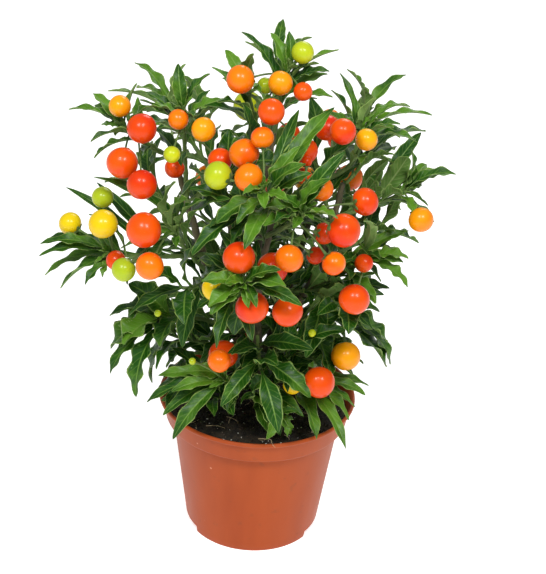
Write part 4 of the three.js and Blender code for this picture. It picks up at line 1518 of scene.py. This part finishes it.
@dataclass
class Pot:
    """The moulded pot. Its sizes are those of the frame's pot, in millimetres."""

    paints: Paints
    around: int = 240
    foot_radius: float = 41.0
    foot_width: float = 4.5
    foot_height: float = 4.5
    pad_radius: float = 9.0
    floor: float = 1.5
    wall: float = 1.1
    shoulder: tuple[float, float] = (51.3, 75.0)
    collar: float = 55.5
    neck: tuple[float, float] = (57.3, 87.0)
    notch: tuple[float, float] = (54.0, 126.0)
    rib: float = 1.6
    step: float = 0.15

    def profile(self, lip: float, height: float) -> tuple[np.ndarray, np.ndarray]:
        """The pot's section from the pad's middle, out, up the outside, over the lip and down the
        inside, with small rounds at its corners.

        Args:
            lip: the lip's radius.
            height: the pot's height.

        Returns:
            Radius and height of each point, and a mask of the points of the standing ring.
        """
        foot, wide = self.foot_radius, self.foot_width
        shoulder_r, shoulder_z = self.shoulder
        neck_r, neck_z = self.neck
        wall, inside = self.wall, self.foot_height + self.floor
        corners = [
            (0.02, 0, 0), (self.pad_radius - 0.5, 0, 0), (self.pad_radius, 0.5, 0),
            (self.pad_radius, self.foot_height, 0), (foot - wide - 0.4, self.foot_height, 0),
            (foot - wide, self.foot_height - 0.4, 0), (foot - wide, 0.35, 1), (foot - wide + 0.35, 0, 1),
            (foot - 0.7, 0, 1), (foot - 0.2, 0.2, 1), (foot, 0.7, 1), (foot + 0.62, self.foot_height, 0),
            (shoulder_r - 4.7, 41, 0), (shoulder_r - 0.35, shoulder_z - 2.2, 0),
            (shoulder_r, shoulder_z - 0.7, 0),
            (shoulder_r + 0.5, shoulder_z - 0.1, 0), (self.collar - 0.9, shoulder_z, 0),
            (self.collar - 0.25, shoulder_z + 0.25, 0), (self.collar, shoulder_z + 0.9, 0),
            (neck_r - 0.2, neck_z - 1.4, 0), (neck_r + 0.1, neck_z - 0.4, 0),
            (neck_r + 0.8, neck_z + 0.15, 0),
            (lip - 0.8, neck_z + 0.45, 0), (lip - 0.25, neck_z + 0.8, 0), (lip, neck_z + 1.4, 0),
            (lip - 0.1, height - 0.9, 0), (lip - 0.45, height - 0.25, 0), (lip - 1.0, height, 0),
            (lip - 1.6, height - 0.15, 0), (neck_r - wall + 0.5, neck_z - 0.2, 0),
            (neck_r - wall, neck_z - 1.2, 0), (self.collar - wall + 0.1, shoulder_z + wall + 0.6, 0),
            (self.collar - wall - 0.4, shoulder_z + wall, 0),
            (shoulder_r - wall + 0.4, shoulder_z + wall, 0), (shoulder_r - wall, shoulder_z + wall - 0.5, 0),
            (foot - wall + 0.6, inside + 0.6, 0), (foot - wall, inside, 0), (0.02, inside, 0),
        ]
        table = np.array(corners)
        return table[:, :2] * MM, table[:, 2] > 0

    def build(self) -> None:
        """Turns the section about +Z. Where the standing ring is open, between the notch's two
        bearings but for the thin rib in its middle, the ring's points rise to the floor's under
        side; a pair of columns a small step apart stands at each end of an opening."""
        _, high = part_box("pot")
        section, ring = self.profile(high.x / MM, high.z / MM)
        middle = sum(self.notch) / 2
        ends = np.array([self.notch[0], middle - self.rib, middle + self.rib, self.notch[1]])
        ends = np.concatenate([ends, -ends])
        degrees = np.sort(np.concatenate([np.arange(self.around) * 360 / self.around - 180,
                                          ends - self.step, ends + self.step]))
        turn = np.radians(degrees - 90)
        off = np.abs(np.abs(degrees) - middle)
        opening = (off > self.rib) & (off < middle - self.notch[0])
        around = len(turn)
        radius = np.broadcast_to(section[:, :1], (len(section), around))
        rise = ring[:, None] * opening[None] * (self.foot_height * MM - 0.02 * MM - section[:, 1:])
        height = section[:, 1:] + rise
        points = np.stack([radius * np.cos(turn), radius * np.sin(turn), height], -1).reshape(-1, 3)
        count = len(section) * around
        points = np.concatenate([points, [[0, 0, 0], [0, 0, section[-1, 1]]]])
        faces = np.concatenate([
            grid_faces(len(section), around, True),
            fan(np.arange(around), count, True),
            fan(np.arange(count - around, count), count + 1, False)])
        surface = Surface(points, faces, np.zeros(len(faces))).outwards()
        piece = surface.piece("nursery_pot", [self.paints.pot])
        piece.data.set_sharp_from_angle(angle=math.radians(50))
        dress(piece, ["pot"])


@dataclass
class Peat:
    """The potting peat, with its crumbs, perlite and straw."""

    paints: Paints
    rings: int = 70
    around: int = 150
    crown: float = 0.6 * MM
    ledge: float = 77.2 * MM
    foot_radius: float = 39.6 * MM
    crumbs: int = 900
    perlite: int = 240
    straws: int = 26

    def relief(self, x: np.ndarray, y: np.ndarray) -> np.ndarray:
        """Height of the peat above its level: three scales of crossed sines, in millimetres.

        Args:
            x: places along X in millimetres.
            y: places along Y in millimetres.

        Returns:
            Heights in millimetres.
        """
        coarse = np.sin(0.16 * x + 0.7) * np.cos(0.19 * y - 0.4) * 0.9
        middle = np.sin(0.55 * x + 0.8 * np.sin(0.31 * y)) * np.sin(0.61 * y + 0.9 * np.sin(0.37 * x)) * 0.7
        fine = np.sin(1.9 * x + 1.3 * np.sin(1.1 * y)) * np.sin(2.1 * y + 1.7 * np.sin(0.9 * x)) * 0.4
        return coarse + middle + fine

    def build(self) -> None:
        """Makes the peat's top as rings about the middle, with the relief faded out at the wall, and
        closes it with a skirt and a floor; then the crumbs and other bits that lie on it."""
        low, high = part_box("soil")
        edge, level = high.x - 0.25 * MM, high.z - 1.6 * MM
        turn = np.linspace(0, 2 * np.pi, self.around, endpoint=False)
        share = np.sqrt(np.linspace(0.0004, 1, self.rings))
        radius = share[:, None] * edge
        x, y = radius * np.cos(turn), radius * np.sin(turn)
        faded = self.relief(x / MM, y / MM) * MM * (1 - share[:, None] ** 16)
        height = level + faded + self.crown * (1 - share[:, None] ** 2)
        top = np.stack([x, y, height], -1)
        ledge, foot = self.ledge, low.z
        skirt = [(edge - 0.9 * MM, ledge), (edge - 5.5 * MM, ledge - 0.6 * MM),
                 (self.foot_radius, foot), (0.2 * MM, foot)]
        rings = [np.stack([r * np.cos(turn), r * np.sin(turn), np.full_like(turn, z)], -1) for r, z in skirt]
        grid = np.concatenate([top, np.array(rings)])
        count = len(grid) * self.around
        points = np.concatenate([grid.reshape(-1, 3), [top[0].mean(0), [0, 0, foot]]])
        faces = np.concatenate([
            grid_faces(len(grid), self.around, True), fan(np.arange(self.around), count, True),
            fan(np.arange(count - self.around, count), count + 1, False)])
        surface = Surface(points, faces, np.zeros(len(faces))).outwards()
        self.finish(surface, edge, level)

    def finish(self, surface: Surface, edge: float, level: float) -> None:
        """Dresses the peat and lays its bits on it.

        Args:
            surface: the peat.
            edge: the peat's radius.
            level: the peat's level.
        """
        dress(surface.piece("potting_peat", [self.paints.peat]), ["soil"])
        draw = np.random.default_rng(21)
        for name, paint, count, sizes in (
                ("peat_crumbs", self.paints.peat, self.crumbs, (0.35, 1.25)),
                ("perlite_grains", self.paints.perlite, self.perlite, (0.18, 0.62))):
            dress(self.bits(name, paint, count, sizes, self.scatter(count, edge, level, draw), draw))
        dress(self.straw(edge, level, draw))

    def scatter(self, count: int, edge: float, level: float, draw: np.random.Generator) -> np.ndarray:
        """Points spread evenly over the peat's top, clear of the wall and of the trunk.

        Args:
            count: how many.
            edge: the peat's radius.
            level: the peat's level.
            draw: the source of variation.

        Returns:
            The points.
        """
        radius = np.sqrt(draw.uniform(0.012, 0.93, count)) * edge
        turn = draw.uniform(0, 2 * np.pi, count)
        x, y = radius * np.cos(turn), radius * np.sin(turn)
        height = level + self.relief(x / MM, y / MM) * MM + self.crown * (1 - (radius / edge) ** 2)
        return np.stack([x, y, height], -1)

    def bits(self, name: str, material: bpy.types.Material, count: int, sizes: tuple[float, float],
             place: np.ndarray, draw: np.random.Generator) -> bpy.types.Object:
        """Many small lumps in one piece: each is a twelve-cornered ball with every corner pushed in
        or out at random, stretched and turned its own way.

        Args:
            name: its name.
            material: its material.
            count: how many.
            sizes: smallest and largest half size in millimetres.
            place: where each lump lies.
            draw: the source of variation.

        Returns:
            The piece.
        """
        gold = (1 + 5 ** 0.5) / 2
        ball = unit(np.array([[-1, gold, 0], [1, gold, 0], [-1, -gold, 0], [1, -gold, 0], [0, -1, gold],
                              [0, 1, gold], [0, -1, -gold], [0, 1, -gold], [gold, 0, -1], [gold, 0, 1],
                              [-gold, 0, -1], [-gold, 0, 1]], float))
        sides = np.array([[0, 11, 5], [0, 5, 1], [0, 1, 7], [0, 7, 10], [0, 10, 11], [1, 5, 9], [5, 11, 4],
                          [11, 10, 2], [10, 7, 6], [7, 1, 8], [3, 9, 4], [3, 4, 2], [3, 2, 6], [3, 6, 8],
                          [3, 8, 9], [4, 9, 5], [2, 4, 11], [6, 2, 10], [8, 6, 7], [9, 8, 1]])
        size = draw.uniform(*sizes, (count, 1, 1)) * MM
        lump = ball[None] * draw.uniform(0.65, 1.2, (count, 12, 1)) * draw.uniform(0.6, 1.25, (count, 1, 3))
        angle = draw.uniform(0, np.pi, (count, 1))
        x, y = lump[..., 0], lump[..., 1]
        turned = np.stack([x * np.cos(angle) - y * np.sin(angle), x * np.sin(angle) + y * np.cos(angle),
                           lump[..., 2]], -1)
        points = place[:, None] + turned * size + np.array([0, 0, 0.25]) * size
        faces = (sides[None] + np.arange(count)[:, None, None] * 12).reshape(-1, 3)
        faces = np.concatenate([faces, np.full((len(faces), 1), -1)], 1)
        return Surface(points.reshape(-1, 3), faces, np.zeros(len(faces))).piece(name, [material])

    def straw(self, edge: float, level: float, draw: np.random.Generator) -> bpy.types.Object:
        """Pale fibres: thin tubes that lie curled on the peat, and two that stand up from it.

        Args:
            edge: the peat's radius.
            level: the peat's level.
            draw: the source of variation.

        Returns:
            The piece.
        """
        parts = []
        for number, start in enumerate(self.scatter(self.straws, edge * 0.93, level, draw)):
            standing = number < 2
            turn = draw.uniform(0, 2 * np.pi)
            length = draw.uniform(5, 13) * MM
            heading = np.array([math.cos(turn), math.sin(turn), 2.6 if standing else 0.12])
            side = np.array([-math.sin(turn), math.cos(turn), 0])
            t = np.linspace(0, 1, 9)[:, None]
            path = start + unit(heading) * length * t + side * length * 0.22 * np.sin(2.4 * t) + UP * 0.5 * MM
            keep = np.minimum(1, edge * 0.97 / np.linalg.norm(path[:, :2], axis=1))
            path[:, :2] *= keep[:, None]
            points, faces = tube(path, np.linspace(0.24, 0.1, 9) * MM, 6)
            parts.append(Surface(points, faces, np.zeros(len(faces))).outwards())
        parts.append(self.hanging(edge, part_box("pot")[1].z))
        return Surface.joined(parts).piece("straw_fibres", [self.paints.straw])

    def hanging(self, edge: float, lip: float) -> Surface:
        """One long fibre that lies over the lip at the front: a line out over the lip, lifted by half
        a sine and swung aside by a slow sine.

        Args:
            edge: the peat's radius.
            lip: the height of the pot's lip.

        Returns:
            The fibre's surface.
        """
        t = np.linspace(0, 1, 18)
        x = (2 + 12 * t + 2.2 * np.sin(5 * t)) * MM
        y = -(edge * 0.86 + (0.072 * t) * edge * 3.4)
        z = lip - 4 * MM + 4.9 * MM * np.sin(np.pi * np.minimum(t * 1.15, 1) * 0.55) - 1.6 * MM * t ** 3
        points, faces = tube(np.stack([x, y, z], -1), np.linspace(0.26, 0.12, 18) * MM, 6)
        return Surface(points, faces, np.zeros(len(faces))).outwards()


# ---------------------------------------------------------------- studio


@dataclass
class Studio:
    """Floor, light and camera."""

    camera_at: tuple[float, float, float] = (0.0, -0.7799, 0.5658)
    pitch: float = math.radians(27.38)
    yaw: float = math.radians(0.45)
    roll: float = math.radians(3.08)
    lens: float = 93.56
    sensor: float = 36.0

    def camera(self) -> None:
        """Sets the camera up: it looks along the yaw and down by the pitch, rolled a little."""
        ahead = Vector((math.sin(self.yaw) * math.cos(self.pitch), math.cos(self.yaw) * math.cos(self.pitch),
                        -math.sin(self.pitch)))
        level = ahead.cross(Vector((0, 0, 1))).normalized()
        above = level.cross(ahead)
        right = level * math.cos(self.roll) + above * math.sin(self.roll)
        top = above * math.cos(self.roll) - level * math.sin(self.roll)
        data = bpy.data.cameras.new("camera")
        data.lens = self.lens
        data.sensor_width = self.sensor
        data.clip_end = 20
        camera = bpy.data.objects.new("camera", data)
        turned = Matrix((right, top, -ahead)).transposed().to_4x4()
        camera.matrix_world = Matrix.Translation(self.camera_at) @ turned
        bpy.context.scene.collection.objects.link(camera)
        bpy.context.scene.camera = camera

    def lamp(self, name: str, place: tuple[float, float, float], width: float, power: float) -> None:
        """Adds a square softbox that looks at the plant's middle.

        Args:
            name: its name.
            place: where it stands.
            width: the width of its face.
            power: its power in watts.
        """
        data = bpy.data.lights.new(name, "AREA")
        data.shape = "SQUARE"
        data.size = width
        data.energy = power
        lamp = bpy.data.objects.new(name, data)
        towards = Vector((0, 0, 0.18)) - Vector(place)
        lamp.matrix_world = Matrix.Translation(place) @ towards.to_track_quat("-Z", "Y").to_matrix().to_4x4()
        bpy.context.scene.collection.objects.link(lamp)

    def build(self) -> None:
        """Makes the floor, the world's even light, the softboxes and the camera."""
        material, _, bsdf = shader("studio_floor")
        bsdf.inputs["Base Color"].default_value = (0.9, 0.9, 0.9, 1)
        bsdf.inputs["Roughness"].default_value = 0.9
        bsdf.inputs["Specular IOR Level"].default_value = 0.0
        bsdf.inputs["Emission Color"].default_value = (1, 1, 1, 1)
        bsdf.inputs["Emission Strength"].default_value = 0.55
        mesh = bpy.data.meshes.new("floor")
        mesh.from_pydata([(-6, -6, 0), (6, -6, 0), (6, 6, 0), (-6, 6, 0)], [], [(0, 1, 2, 3)])
        mesh.materials.append(material)
        floor = bpy.data.objects.new("floor", mesh)
        bpy.context.scene.collection.objects.link(floor)
        world = bpy.data.worlds.new("studio")
        world.use_nodes = True
        background = world.node_tree.nodes["Background"]
        background.inputs["Color"].default_value = (1, 1, 1, 1)
        background.inputs["Strength"].default_value = 0.34
        bpy.context.scene.world = world
        self.lamp("softbox_left", (-0.34, -0.72, 1.10), 0.3, 7.6)
        self.lamp("softbox_right", (0.30, -0.75, 1.10), 0.3, 7.6)
        self.lamp("softbox_back", (0.25, 0.95, 0.95), 0.5, 4.0)
        self.camera()
        bpy.context.scene.view_settings.view_transform = "Standard"


def main() -> None:
    """Builds the plant piece by piece, then the studio."""
    logging.basicConfig(level=logging.INFO, format="%(name)s: %(message)s")
    paints = Paints()
    room = Room()
    Studio().build()
    Pot(paints).build()
    Peat(paints).build()
    trunk = Trunk(paints, room)
    trunk.note()
    trunk.build()
    foliage = Foliage(paints, room)
    foliage.read()
    fruits = Fruits(paints, room, foliage)
    fruits.read()
    fruits.add_hidden()
    fruits.add_back()
    fruits.build()
    foliage.build()


if __name__ == "__main__":
    main()
